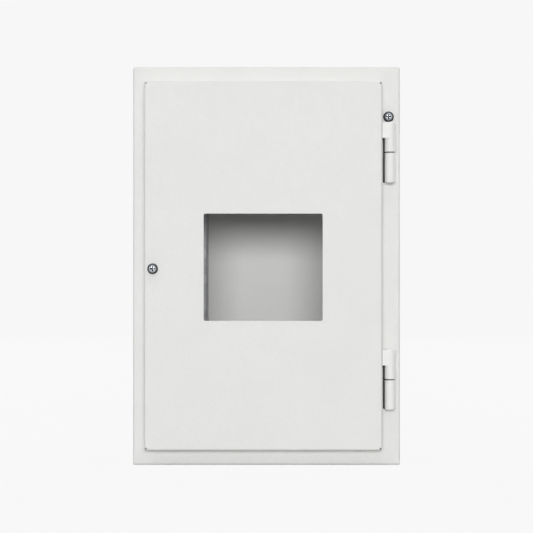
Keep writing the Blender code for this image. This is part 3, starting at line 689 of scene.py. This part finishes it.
RAIL_T, RAIL_FOLD, RAIL_HAT = 1.0 * MM, 0.6 * MM, 27.0 * MM
RAIL_SLOT_L, RAIL_SLOT_W = 18.0 * MM, 6.3 * MM
RAIL_SLOTS_EACH_SIDE = 3
for level in ("upper", "lower"):
    node = "din_rail_" + level
    low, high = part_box(node)
    web, brim = high.y - RAIL_T / 2, low.y + RAIL_T / 2
    half_hat = RAIL_HAT / 2 - RAIL_T / 2
    above = [(web, half_hat), (brim, half_hat), (brim, (high.z - low.z) / 2)]
    path = [(y, middle(node).z - rise) for y, rise in above[::-1]]
    path += [(y, middle(node).z + rise) for y, rise in above]
    hat = drawn(strip_section(path, RAIL_T, RAIL_FOLD), low.x, high.x, "x")
    last = (RAIL_SLOTS_EACH_SIDE - 1) * STRIP_PITCH
    rows = []
    for side, begin in (("left", 0.0), ("right", -last)):
        screw = middle(f"rail_screw_{level}_{side}")
        row = in_row(
            f"{node}_{side}_slots",
            slot_punch(node + "_punch", RAIL_SLOT_L, RAIL_SLOT_W, 2 * RAIL_T, upright=False),
            RAIL_SLOTS_EACH_SIDE,
            (screw.x + begin, web, middle(node).z),
            (STRIP_PITCH, 0.0, 0.0),
            galvanised,
        )
        rows.append(shape_of(row))
    strip = eased(cut(node, hat, *rows), node + "_strip", STRIP_EDGE)
    fit(node + "_strip", strip, galvanised, "enclosure", "galvanised_sheet", node)


def recess_blades(head_r, head_h):
    """The two crossed wedges that press the cross recess into a head."""
    wide, deep = 0.54 * head_r, 0.66 * head_h
    thick, thin = 0.13 * head_r, 0.08 * head_r
    blades = []
    for quarter in (0.0, 90.0):
        blade = bmesh.new()
        top, floor = 1.3 * head_h, head_h - deep
        section = ((wide, thick, top), (wide, thick, 0.97 * head_h), (0.3 * wide, thin, floor))
        rings = [
            [blade.verts.new((x * a, y * b, z)) for a, b in ((1, 1), (-1, 1), (-1, -1), (1, -1))]
            for x, y, z in section
        ]
        for upper, lower in zip(rings, rings[1:]):
            for i in range(4):
                j = (i + 1) % 4
                blade.faces.new((upper[i], upper[j], lower[j], lower[i]))
        blade.faces.new(rings[0])
        blade.faces.new(rings[-1])
        spin = Matrix.Rotation(math.radians(quarter), 3, "Z")
        bmesh.ops.rotate(blade, matrix=spin, verts=blade.verts)
        bmesh.ops.recalc_face_normals(blade, faces=blade.faces)
        blades.append(blade)
    return blades


def with_thread(mesh, name, look, outer, root, pitch, length, plain=0.0):
    """A head with a rolled thread behind it, past any plain neck, turned to face the front."""
    thread = threaded_rod(name + "_thread", look, outer, root, length - plain, pitch)
    thread.transform(Matrix.Translation((0, 0, -length)))
    both = shape_of(mesh)
    both.from_mesh(thread)
    both.to_mesh(mesh)
    both.free()
    mesh.transform(TO_FRONT)
    mesh.shade_smooth()
    mesh.set_sharp_from_angle(angle=SMOOTH_UP_TO)
    return mesh


HEAD_CHAMFER, HEAD_EDGE = 0.25 * MM, 0.09 * MM


def pan_screw(name, look, head_r, head_h, outer, root, pitch, whole, plain=0.0):
    """A pan-head screw of a whole length that faces the front, its head's seat at the origin."""
    side = 0.3 * head_h
    crown = [math.radians(6 + 78 * i / 9) for i in range(10)]
    rise = (head_h - side) / math.sin(crown[-1])
    profile = [(0, -plain), (outer, -plain), (outer, 0), (head_r - HEAD_CHAMFER, 0)]
    profile += [(head_r, HEAD_CHAMFER), (head_r, side)]
    profile += [(head_r * math.cos(a), side + rise * math.sin(a)) for a in crown]
    profile += [(0, head_h)]
    head = cut(name, turned(profile), *recess_blades(head_r, head_h))
    mesh = eased(head, name, HEAD_EDGE)
    return with_thread(mesh, name, look, outer, root, pitch, whole - head_h, plain)


def front_seats(nodes, head_h):
    """Where the heads of these screws bear."""
    return [(middle(node).x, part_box(node)[0].y + head_h, middle(node).z) for node in nodes]


def depth_of(node):
    """How far a node reaches from front to back."""
    low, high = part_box(node)
    return high.y - low.y


M5_HEAD_R, M5_HEAD_H = 4.9 * MM, 3.7 * MM
M5_OUT_R, M5_ROOT_R, M5_PITCH = 2.45 * MM, 2.05 * MM, 0.8 * MM
M5_SIZES = (M5_HEAD_R, M5_HEAD_H, M5_OUT_R, M5_ROOT_R, M5_PITCH)
RAIL_SCREWS = ["rail_screw_" + corner for corner in CORNERS]
RAIL_NUTS = ["rail_nut_" + corner for corner in CORNERS]
rail_screw = pan_screw("rail_screw", zinc, *M5_SIZES, depth_of(RAIL_SCREWS[0]))
set_on("rail_screws", rail_screw, front_seats(RAIL_SCREWS, M5_HEAD_H), RAIL_SCREWS, seed=11)
set_on("rail_nuts", M5_NUT, rear_seats(RAIL_NUTS), RAIL_NUTS, seed=5)

# Terminal bars: drawn brass, drilled for the cables, on moulded stand-offs in blue for neutral
# and green for earth. A slotted clamping screw stands in the front of each cable hole, and a
# long screw goes through the bar and each stand-off into a nut behind the post.


def drawn_brass():
    """Brass with the fine lines of the die that it was drawn through."""
    made, tree, shader = surface("drawn_brass", (0.6, 0.44, 0.18), 1.0)
    stretch = {"Vector": here(tree), "Scale": (12.0, 900.0, 900.0)}
    along = add_node(tree, "ShaderNodeMapping", stretch).outputs["Vector"]
    lines = noise(tree, along, 1.0)
    shade_between(tree, shader, lines, (0.5, 0.35, 0.12), (0.62, 0.46, 0.2))
    shader.inputs["Roughness"].default_value = 0.48
    raise_by(tree, shader, lines, 0.02 * MM)
    return made


def moulded(name, low, high):
    """Moulded plastic with the fine spark texture of its tool."""
    made, tree, shader = surface(name, high)
    film = film_of(tree, 0.6 * MM, 1.0)
    shade_between(tree, shader, film.outputs["Tone"], low, high)
    shader.inputs["Roughness"].default_value = 0.42
    raise_by(tree, shader, film.outputs["Height"], 0.03 * MM)
    return made


brass = drawn_brass()
CABLE_R, CLAMP_R, BAR_SCREW_HOLE_R = 2.7 * MM, 2.0 * MM, 2.75 * MM
CABLE_PITCH = 15.0 * MM
PART_EDGE = 0.35 * MM


def cable_places(bar):
    """Where the cable holes stand along a bar, between its two fixing screws."""
    count = int((middle(f"{bar}_insulator_right").x - CABLE_PITCH) / CABLE_PITCH)
    return [i * CABLE_PITCH for i in range(-count, count + 1)]


def block(size, centre):
    """A plain block."""
    bm = bmesh.new()
    bmesh.ops.create_cube(bm, size=1.0)
    bmesh.ops.scale(bm, vec=size, verts=bm.verts)
    bmesh.ops.translate(bm, vec=centre, verts=bm.verts)
    return bm


def terminal_bar(bar):
    """A square-edged bar with cable holes up through it and a clamping hole into each."""
    low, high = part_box(bar + "_bar")
    centre = (low + high) / 2
    below, above = low.z - MM, high.z + MM
    before, behind = low.y - MM, high.y + MM
    ends = [middle(f"{bar}_insulator_{side}").x for side in ("left", "right")]
    in_front = [(x, centre.z) for x in cable_places(bar)]
    cables = bores(CABLE_R, below, above, "z", [(x, centre.y) for x in cable_places(bar)])
    fixings = bores(BAR_SCREW_HOLE_R, before, behind, "y", [(x, centre.z) for x in ends])
    clamps = bores(CLAMP_R, before, centre.y, "y", in_front, 20)
    return cut(bar + "_brass", block(high - low, centre), cables, fixings, clamps)


def clamp_screw():
    """A headless M4 screw with a slot across its end, which stands proud of the bar."""
    out, root, proud, chamfer = 1.95 * MM, 1.62 * MM, 1.6 * MM, 0.3 * MM
    profile = [(0, 0), (out, 0), (out, proud - chamfer), (out - chamfer, proud), (0, proud)]
    slot = block((6 * out, 0.6 * MM, 1.6 * MM), (0, 0, proud))
    top = eased(cut("clamp_screw", turned(profile, 32), slot), "clamp_screw", 0.06 * MM, 1)
    return with_thread(top, "clamp_screw", zinc, out, root, 0.7 * MM, 6.0 * MM)


def stand_off(node, name):
    """A waisted square stand-off with a rib round its middle, bored for its screw."""
    low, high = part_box(node)
    foot, waist, corner = high.x - low.x, 11.0 * MM, 2.0 * MM
    levels = ((foot, 0.0), (foot, 0.14), (waist, 0.24), (waist, 0.44), (foot, 0.5))
    levels += tuple((size, 1 - share) for size, share in levels[-2::-1])
    centre, long = middle(node), high.y - low.y
    bm = bmesh.new()
    rings = []
    for size, share in levels:
        reach = size / 2 - corner
        ring = []
        for quarter, (sx, sz) in enumerate(((1, 1), (-1, 1), (-1, -1), (1, -1))):
            for i in range(7):
                angle = math.radians(90 * quarter + 15 * i)
                x = centre.x + sx * reach + corner * math.cos(angle)
                z = centre.z + sz * reach + corner * math.sin(angle)
                ring.append(bm.verts.new((x, high.y - share * long, z)))
        rings.append(ring)
    for near, far in zip(rings, rings[1:]):
        for i, vert in enumerate(near):
            j = (i + 1) % len(near)
            bm.faces.new((vert, near[j], far[j], far[i]))
    bm.faces.new(rings[0])
    bm.faces.new(rings[-1])
    bmesh.ops.recalc_face_normals(bm, faces=bm.faces)
    bore = bores(BAR_SCREW_HOLE_R, low.y - MM, high.y + MM, "y", [(centre.x, centre.z)])
    return eased(cut(name, bm, bore), name, PART_EDGE)


clamp_pattern = clamp_screw()
BLUE = moulded("blue_moulding", (0.04, 0.13, 0.48), (0.06, 0.19, 0.6))
GREEN = moulded("green_moulding", (0.04, 0.3, 0.1), (0.06, 0.4, 0.14))
bar_screw = pan_screw("bar_screw", zinc, *M5_SIZES, depth_of("neutral_bar_screw_left"))
for seed, bar, plastic, plastic_slot in (
    (21, "neutral", BLUE, "blue_plastic"),
    (34, "earth", GREEN, "green_plastic"),
):
    bar_mesh = eased(terminal_bar(bar), bar + "_brass", PART_EDGE)
    fit(bar + "_brass", bar_mesh, brass, "enclosure", "brass_bar", bar + "_bar")
    for side in ("left", "right"):
        node = f"{bar}_insulator_{side}"
        moulding = stand_off(node, node + "_moulding")
        fit(node + "_moulding", moulding, plastic, "enclosure", plastic_slot, node)
    places = cable_places(bar)
    clamp_mesh = in_row(
        bar + "_clamp_screws",
        clamp_pattern.copy(),
        len(places),
        (places[0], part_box(bar + "_bar")[0].y, middle(bar + "_bar").z),
        (CABLE_PITCH, 0.0, 0.0),
        zinc,
        turn=math.pi,
        seed=seed,
    )
    fit(bar + "_clamp_screws", clamp_mesh, zinc, "enclosure", "zinc_plated")
    screws = [f"{bar}_bar_screw_{side}" for side in ("left", "right")]
    nuts = [f"{bar}_bar_nut_{side}" for side in ("left", "right")]
    set_on(bar + "_bar_screws", bar_screw, front_seats(screws, M5_HEAD_H), screws, seed=seed + 1)
    set_on(bar + "_bar_nuts", M5_NUT, rear_seats(nuts), nuts, seed=seed + 2)

# Door: a pan folded from the same sheet, with a window cut through it and a relief at each
# corner where the two flanges meet. It is coated like the box, and an earth stud stands in it.

door_mesh = eased(merged("door_panel"), "door_skin", COAT_EDGE)
fit("door_skin", door_mesh, powder_coat, "door", "powder_coat_grey", "door_panel")
DOOR_STUD_L = 11.3 * MM
door_stud = threaded_rod(
    "door_stud_thread", copper_flash, STUD_OUT_R, STUD_CORE_R, DOOR_STUD_L, M6_PITCH
)
washer = middle("door_earth_washer")
stud_root = Vector((washer.x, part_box("door_earth_washer")[0].y, washer.z))
door_stud.transform(Matrix.Translation(stud_root) @ TO_BACK)
fit("door_stud_thread", door_stud, copper_flash, "door", "bright_steel")

# Hinges: two lift-off hinges of drawn steel, welded on before coating, so their halves wear the same
# coat, which is painted a shade lighter on them than on the box as painted light. The arm of the
# upper half is welded to the door's edge and the lower half stands on a foot that is welded to the
# lip. A turned pin joins them.

KNUCKLE_EDGE, END_ROUND = 0.7 * MM, 1.8 * MM
ARM_T, ARM_CURVE, ARM_SETBACK = 7.0 * MM, 1.8 * MM, 0.06 * MM
FOOT_HALF_W, FOOT_FRONT = 4.0 * MM, 1.0 * MM
PIN_BORE_R, PIN_BORE_TOP, PIN_BORE_FLOOR = 3.3 * MM, 22.3 * MM, -20.3 * MM


def chamfered(radius, low, high, edge):
    """The profile of a round bar with a chamfer at each end."""
    profile = [(0, low), (radius - edge, low), (radius, low + edge)]
    return profile + [(radius, high - edge), (radius - edge, high), (0, high)]


def upper_half(node, axis, radius):
    """The knuckle that turns with the door, with its arm, drawn about the hinge's middle."""
    low, high = (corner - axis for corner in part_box(node))
    profile = chamfered(radius, low.z, high.z, KNUCKLE_EDGE)
    top = high.z - ARM_DROP
    bottom = top - ARM_H
    bend = [math.radians(90 * i / 10) for i in range(11)]
    lower = [
        (0.55 * low.x * (1 - i / 10), bottom + ARM_CURVE * (1 - math.cos(angle)))
        for i, angle in enumerate(bend)
    ]
    outline = [(low.x, bottom), *lower, (0, top), (low.x, top)]
    front = ARM_SETBACK - radius
    arm = drawn(outline, front, front + ARM_T, "y")
    half = combined(node, turned(profile, 64), [arm], "UNION")
    return cut(node, half, bores(PIN_BORE_R, low.z - MM, PIN_BORE_TOP, "z", [(0, 0)], 40))


def lower_half(node, axis, radius):
    """The knuckle that stands on the lip, round at its foot, drawn about the hinge's middle."""
    low, high = (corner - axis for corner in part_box(node))
    rounds = [math.radians(-90 + 90 * i / 6) for i in range(7)]
    profile = [(0, low.z)]
    for angle in rounds:
        across = radius - END_ROUND + END_ROUND * math.cos(angle)
        profile.append((across, low.z + END_ROUND + END_ROUND * math.sin(angle)))
    profile += [(radius, high.z - KNUCKLE_EDGE), (radius - KNUCKLE_EDGE, high.z), (0, high.z)]
    foot_low, foot_high = low.z + 1.5 * END_ROUND, high.z - 2 * KNUCKLE_EDGE
    outline = [(side * FOOT_HALF_W, foot_low) for side in (-1, 1)]
    outline += [(side * FOOT_HALF_W, foot_high) for side in (1, -1)]
    foot = drawn(outline, FOOT_FRONT, high.y, "y")
    half = combined(node, turned(profile, 64), [foot], "UNION")
    return cut(node, half, bores(PIN_BORE_R, PIN_BORE_FLOOR, high.z + MM, "z", [(0, 0)], 40))


def turned_steel():
    """Bright steel with the fine rings of the lathe, dull with oil."""
    made, tree, shader = surface("turned_steel", (0.3, 0.3, 0.3), 1.0)
    lathe = {"Vector": here(tree), "Scale": 700.0, "Distortion": 1.5}
    rings = add_node(tree, "ShaderNodeTexWave", lathe, bands_direction="Z")
    shade_between(tree, shader, rings.outputs["Fac"], (0.2, 0.2, 0.2), (0.3, 0.3, 0.3))
    shader.inputs["Roughness"].default_value = 0.34
    return made


def weld_bead_tree():
    """A bead of weld up Z: ripples that overlap, each a little wider or narrower by chance."""
    inputs = [("Length", "Float"), ("Ripple", "Float"), ("Width", "Float"), ("Seed", "Int")]
    tree, given = new_tree("weld_bead", inputs)
    pitch = given.outputs["Ripple"]
    count = worked_out(tree, "DIVIDE", given.outputs["Length"], pitch)
    step = add_node(tree, "ShaderNodeCombineXYZ", {"Z": pitch})
    run = add_node(tree, "GeometryNodeMeshLine", {"Count": count, "Offset": step})
    ball = {"Subdivisions": 3, "Radius": given.outputs["Width"]}
    ripple = add_node(tree, "GeometryNodeMeshIcoSphere", ball)
    limits = {"Min": 0.86, "Max": 1.1, "Seed": given.outputs["Seed"]}
    chance = add_node(tree, "FunctionNodeRandomValue", limits)
    copy = {"Points": run, "Instance": ripple, "Scale": chance.outputs["Value"]}
    return end_tree(tree, given, add_node(tree, "GeometryNodeInstanceOnPoints", copy))


def hinge_middle(level):
    """The point on a hinge's axis at which its two halves meet."""
    pin = middle(f"hinge_{level}_pin")
    above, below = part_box(f"hinge_{level}_door_half")[0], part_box(f"hinge_{level}_frame_half")[1]
    return Vector((pin.x, pin.y, (above.z + below.z) / 2))


JOINT_REACH = (9.0 * MM, 9.0 * MM, 0.12 * MM)
hinge_joints = [(hinge_middle(level), JOINT_REACH) for level in ("upper", "lower")]
# Painted light: the hinges' coat is painted a shade lighter than the box's, for the light that they
# catch.
LIT_HINGE_COAT_LOW = (0.825, 0.825, 0.808)
LIT_HINGE_COAT_HIGH = (0.858, 0.858, 0.842)
lit_hinge_coat = coating("powder_coat_of_hinges", LIT_HINGE_COAT_LOW, LIT_HINGE_COAT_HIGH, hinge_joints)
HINGE_EDGE = 0.28 * MM
oiled_steel = turned_steel()
PIN_CHAMFER = 0.6 * MM
weld_bead = weld_bead_tree()
BEAD_SIZES = {"Length": 26.0 * MM, "Ripple": 0.9 * MM, "Width": 1.1 * MM}
BEAD_RISE, BEAD_SINK = 4.0 * MM, 0.5 * MM
beads = bmesh.new()
for seed, level in ((8, "upper"), (13, "lower")):
    pin = f"hinge_{level}_pin"
    axis = hinge_middle(level)
    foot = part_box(f"hinge_{level}_frame_half")
    radius = axis.x - foot[0].x
    for half, body, shape in (("door", "door", upper_half), ("frame", "enclosure", lower_half)):
        node = f"hinge_{level}_{half}_half"
        mesh = eased(shape(node, axis, radius), node + "_skin", HINGE_EDGE)
        mesh.transform(Matrix.Translation(axis))
        fit(node + "_skin", mesh, lit_hinge_coat, body, "powder_coat_grey", node)
    low, high = (corner.z - axis.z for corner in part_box(pin))
    pin_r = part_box(pin)[1].x - axis.x
    pin_mesh = eased(turned(chamfered(pin_r, low, high, PIN_CHAMFER), 40), pin + "_steel", 0)
    pin_mesh.transform(Matrix.Translation(axis))
    fit(pin + "_steel", pin_mesh, oiled_steel, "enclosure", "bright_steel", pin)
    for side in (-1, 1):
        values = {**BEAD_SIZES, "Seed": seed + side, "Material": powder_coat}
        bead = grown("weld_bead", weld_bead, values)
        across = axis.x + side * FOOT_HALF_W
        place = Vector((across, foot[1].y - BEAD_SINK, foot[0].z + BEAD_RISE))
        bead.transform(Matrix.Translation(place))
        beads.from_mesh(bead)
bead_mesh = poured("hinge_weld_beads", beads)
bead_mesh.shade_smooth()
fit("hinge_weld_beads", bead_mesh, powder_coat, "enclosure", "powder_coat_grey")

# Door lock: a captive M6 pan-head screw in black-passivated zinc, with a plain neck and a thread
# at its end. A steel ring keeps it in the door, and it turns into a blind rivet nut in the lip.
# Its crown is painted bright metal and its rim dark, as a painted reflection, and its recess is
# painted dark, as painted shade.

M6_HEAD_R, M6_HEAD_H = 6.0 * MM, 4.6 * MM
SHEEN_TO, DARK_FROM = 0.5 * M6_HEAD_R, 0.84 * M6_HEAD_R
RECESS_HALF_W, RECESS_HALF_D, RECESS_TOP = 0.42 * M6_HEAD_R, 1.2 * MM, 1.1 * MM
BLACK_ZINC = (0.01, 0.011, 0.014, 1.0)


def black_zinc_with_painted_sheen(node):
    """Black passivation, painted bright zinc on the crown of a screw's head as a painted reflection,
    and dark in its recess as painted shade.
    """
    made = plating("painted_sheen_zinc_of_" + node, (0.4, 0.425, 0.46), (0.58, 0.61, 0.66), 0.18, 0.26)
    tree = made.node_tree
    shader = tree.nodes["Principled BSDF"]
    bright = shader.inputs["Base Color"].links[0].from_socket
    away = vector_worked_out(tree, "SUBTRACT", here(tree), middle(node))
    across = vector_worked_out(tree, "MULTIPLY", away, (1, 0, 1))
    out = vector_worked_out(tree, "LENGTH", across)
    # Painted reflection: bright metal on the crown, black towards the rim.
    crown = ranged(tree, out, 1.0, 0.0, SHEEN_TO, DARK_FROM, blend="SMOOTHSTEP")
    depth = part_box(node)[0].y + RECESS_TOP + RECESS_HALF_D
    centre = (middle(node).x, depth, middle(node).z)
    half = (RECESS_HALF_W, RECESS_HALF_D, RECESS_HALF_W)
    # Painted shade: the cross recess is painted black.
    recess = patch_mask(tree, centre, half, 0.3 * MM)
    painted_sheen = worked_out(tree, "MULTIPLY", crown, worked_out(tree, "SUBTRACT", 1.0, recess))
    tree.links.new(mixed(tree, painted_sheen, BLACK_ZINC, bright), shader.inputs["Base Color"])
    tree.links.new(painted_sheen, shader.inputs["Metallic"])
    shader.inputs["Specular IOR Level"].default_value = 0.3
    return made


def front_screw(node, body, outer, root, plain=0.0):
    """One of the two M6 screws that show in front, with a painted reflection on its crown."""
    look = black_zinc_with_painted_sheen(node)
    sizes = (M6_HEAD_R, M6_HEAD_H, outer, root, M6_PITCH)
    mesh = pan_screw(node + "_plated", look, *sizes, depth_of(node), plain)
    mesh.transform(Matrix.Translation(front_seats([node], M6_HEAD_H)[0]))
    fit(node + "_plated", mesh, look, body, "zinc_plated", node)


LOCK_NECK_R, LOCK_ROOT_R, LOCK_NECK_L = 2.65 * MM, 2.25 * MM, 11.0 * MM
front_screw("lock_screw", "lock_screw", LOCK_NECK_R, LOCK_ROOT_R, LOCK_NECK_L)


def at_rear(node, mesh):
    """A turned mesh, set to face the front with its foot at the node's rear face."""
    mesh.transform(Matrix.Translation(rear_seats([node])[0]) @ TO_FRONT)
    return mesh


def flat_ring(node, bore, edge):
    """A turned ring the size of a node, in the node's own place."""
    low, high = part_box(node)
    out, thick = (high.x - low.x) / 2, high.y - low.y
    profile = [(bore, edge), (bore + edge, 0), (out - edge, 0), (out, edge)]
    profile += [(out, thick - edge), (out - edge, thick), (bore + edge, thick), (bore, thick - edge)]
    return at_rear(node, eased(turned(profile, 56, closed=True), node + "_ring", 0))


RING_BORE_R, RING_EDGE = 2.95 * MM, 0.15 * MM
ring = flat_ring("lock_screw_retainer", RING_BORE_R, RING_EDGE)
fit("lock_ring", ring, oiled_steel, "lock_retainer", "bright_steel", "lock_screw_retainer")
RIVET_BORE_R, RIVET_BODY_R = 3.15 * MM, 4.3 * MM
BULGE_OUT, BULGE_L, BULGE_GAP = 1.2 * MM, 2.6 * MM, 1.8 * MM
FLANGE_T, FLANGE_EDGE = 1.0 * MM, 0.3 * MM
TAIL_CHAMFER, MOUTH_CHAMFER = 0.2 * MM, 0.4 * MM
low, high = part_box("lock_rivet_nut")
long, flange_r = high.y - low.y, (high.x - low.x) / 2
crimp = long - FLANGE_T - BULGE_GAP
rivet = [(RIVET_BORE_R, TAIL_CHAMFER), (RIVET_BORE_R + TAIL_CHAMFER, 0), (RIVET_BODY_R, 0)]
rivet += [(RIVET_BODY_R, crimp - BULGE_L)]
rivet += [
    (RIVET_BODY_R + BULGE_OUT * math.sin(math.pi * i / 8) ** 0.7, crimp - BULGE_L * (1 - i / 8))
    for i in range(1, 8)
]
rivet += [(RIVET_BODY_R, crimp), (RIVET_BODY_R, long - FLANGE_T), (flange_r, long - FLANGE_T)]
rivet += [(flange_r, long - FLANGE_EDGE), (flange_r - FLANGE_EDGE, long)]
rivet += [(RIVET_BORE_R + MOUTH_CHAMFER, long), (RIVET_BORE_R, long - MOUTH_CHAMFER)]
rivet_mesh = at_rear("lock_rivet_nut", eased(turned(rivet, 56, closed=True), "rivet_nut", 0))
fit("rivet_nut", rivet_mesh, oiled_steel, "enclosure", "bright_steel", "lock_rivet_nut")

# Earth terminals: an M6 screw like the door's goes through the lip above the upper hinge, with a
# washer and a nut behind it. The door's stud carries a washer and a nut for its own earth lead.

M6_OUT_R, M6_ROOT_R, WASHER_BORE_R = 2.95 * MM, 2.5 * MM, 3.25 * MM
front_screw("earth_screw", "enclosure", M6_OUT_R, M6_ROOT_R)
for node, body in (("earth_washer", "enclosure"), ("door_earth_washer", "door")):
    disc = flat_ring(node, WASHER_BORE_R, RING_EDGE)
    fit(node + "_plated", disc, zinc, body, "zinc_plated", node)
for seed, node, body in ((41, "earth_nut", "enclosure"), (43, "door_earth_nut", "door")):
    set_on(node + "_plated", M6_NUT, rear_seats([node]), [node], seed=seed, body=body)

# Studio: a pale paper floor and backdrop. One wide soft box stands in front, a little above the
# enclosure, one hangs over it and two stand behind its sides.

PAPER_GLOW, PAPER_REACH, PAPER_DROP = 0.94, 4.0, 0.5 * MM
PAPER_WHITE, BACKDROP_GREY, FILL_LIGHT = 0.965, 0.93, 0.19


def looks_on(tree):
    """One for rays that see the backdrop: the camera's, a reflection's or one through glass."""
    path = add_node(tree, "ShaderNodeLightPath").outputs
    straight = worked_out(tree, "MAXIMUM", path["Is Camera Ray"], path["Is Glossy Ray"])
    return worked_out(tree, "MAXIMUM", straight, path["Is Transmission Ray"])


def lit(grey, strength=1.0):
    """The colour and strength of something that gives its own grey light."""
    return {"Color": (grey, grey, grey, 1.0), "Strength": strength}


studio, studio_tree, studio_shader = surface("studio_paper", (0.5, 0.5, 0.5))
studio_shader.inputs["Roughness"].default_value = 0.9
glow = add_node(studio_tree, "ShaderNodeEmission", lit(PAPER_WHITE))
share = worked_out(studio_tree, "MULTIPLY", looks_on(studio_tree), PAPER_GLOW)
blend = add_node(studio_tree, "ShaderNodeMixShader", {"Fac": share, 1: studio_shader, 2: glow})
studio_tree.links.new(blend.outputs[0], studio_tree.nodes["Material Output"].inputs["Surface"])
paper = bmesh.new()
paper_corners = [(PAPER_REACH * a, PAPER_REACH * b) for a, b in ((-1, -1), (1, -1), (1, 1), (-1, 1))]
paper.faces.new([paper.verts.new((x, y, -PAPER_DROP)) for x, y in paper_corners])
paper_mesh = poured("studio_floor", paper)
paper_mesh.materials.append(studio)
held("studio_floor", paper_mesh)

world = bpy.data.worlds.new("studio_light")
bpy.context.scene.world = world
world.use_nodes = True
sky = world.node_tree
sky.nodes.clear()
fill = add_node(sky, "ShaderNodeBackground", lit(1.0, FILL_LIGHT))
backdrop = add_node(sky, "ShaderNodeBackground", lit(BACKDROP_GREY))
pick = add_node(sky, "ShaderNodeMixShader", {"Fac": looks_on(sky), 1: fill, 2: backdrop})
add_node(sky, "ShaderNodeOutputWorld", {"Surface": pick})


def soft_box(name, elevation, side, distance, width, height, power):
    """An oval soft box aimed at the enclosure, placed and sized by angles as seen from there."""
    target = Vector((0.0, -0.065, 0.225))
    up, round_by = math.radians(elevation), math.radians(side)
    flat = math.cos(up)
    way = Vector((math.sin(round_by) * flat, -math.cos(round_by) * flat, math.sin(up)))
    lamp = bpy.data.lights.new(name, "AREA")
    lamp.shape = "ELLIPSE"
    lamp.size = 2 * distance * math.tan(math.radians(width))
    lamp.size_y = 2 * distance * math.tan(math.radians(height))
    lamp.energy = power
    holder = held(name, lamp)
    holder.location = target + way * distance
    holder.rotation_euler = (-way).to_track_quat("-Z", "Y").to_euler()


soft_box("front_soft_box", 10.0, 0.0, 9.0, 15.5, 9.0, 457.0)
soft_box("overhead_soft_box", 77.0, 0.0, 9.0, 35.0, 18.0, 345.0)
soft_box("left_soft_box", 20.0, -140.0, 4.0, 20.0, 20.0, 62.0)
soft_box("right_soft_box", 20.0, 140.0, 4.0, 20.0, 20.0, 62.0)

camera = held("camera", bpy.data.cameras.new("camera"))
camera.data.sensor_width = 36.0
camera.data.lens = 131.4
camera.location = (0.0, -2.2644, 0.22443)
camera.rotation_euler = (math.radians(90), 0.0, 0.0)
bpy.context.scene.camera = camera
bpy.context.scene.view_settings.view_transform = "Standard"
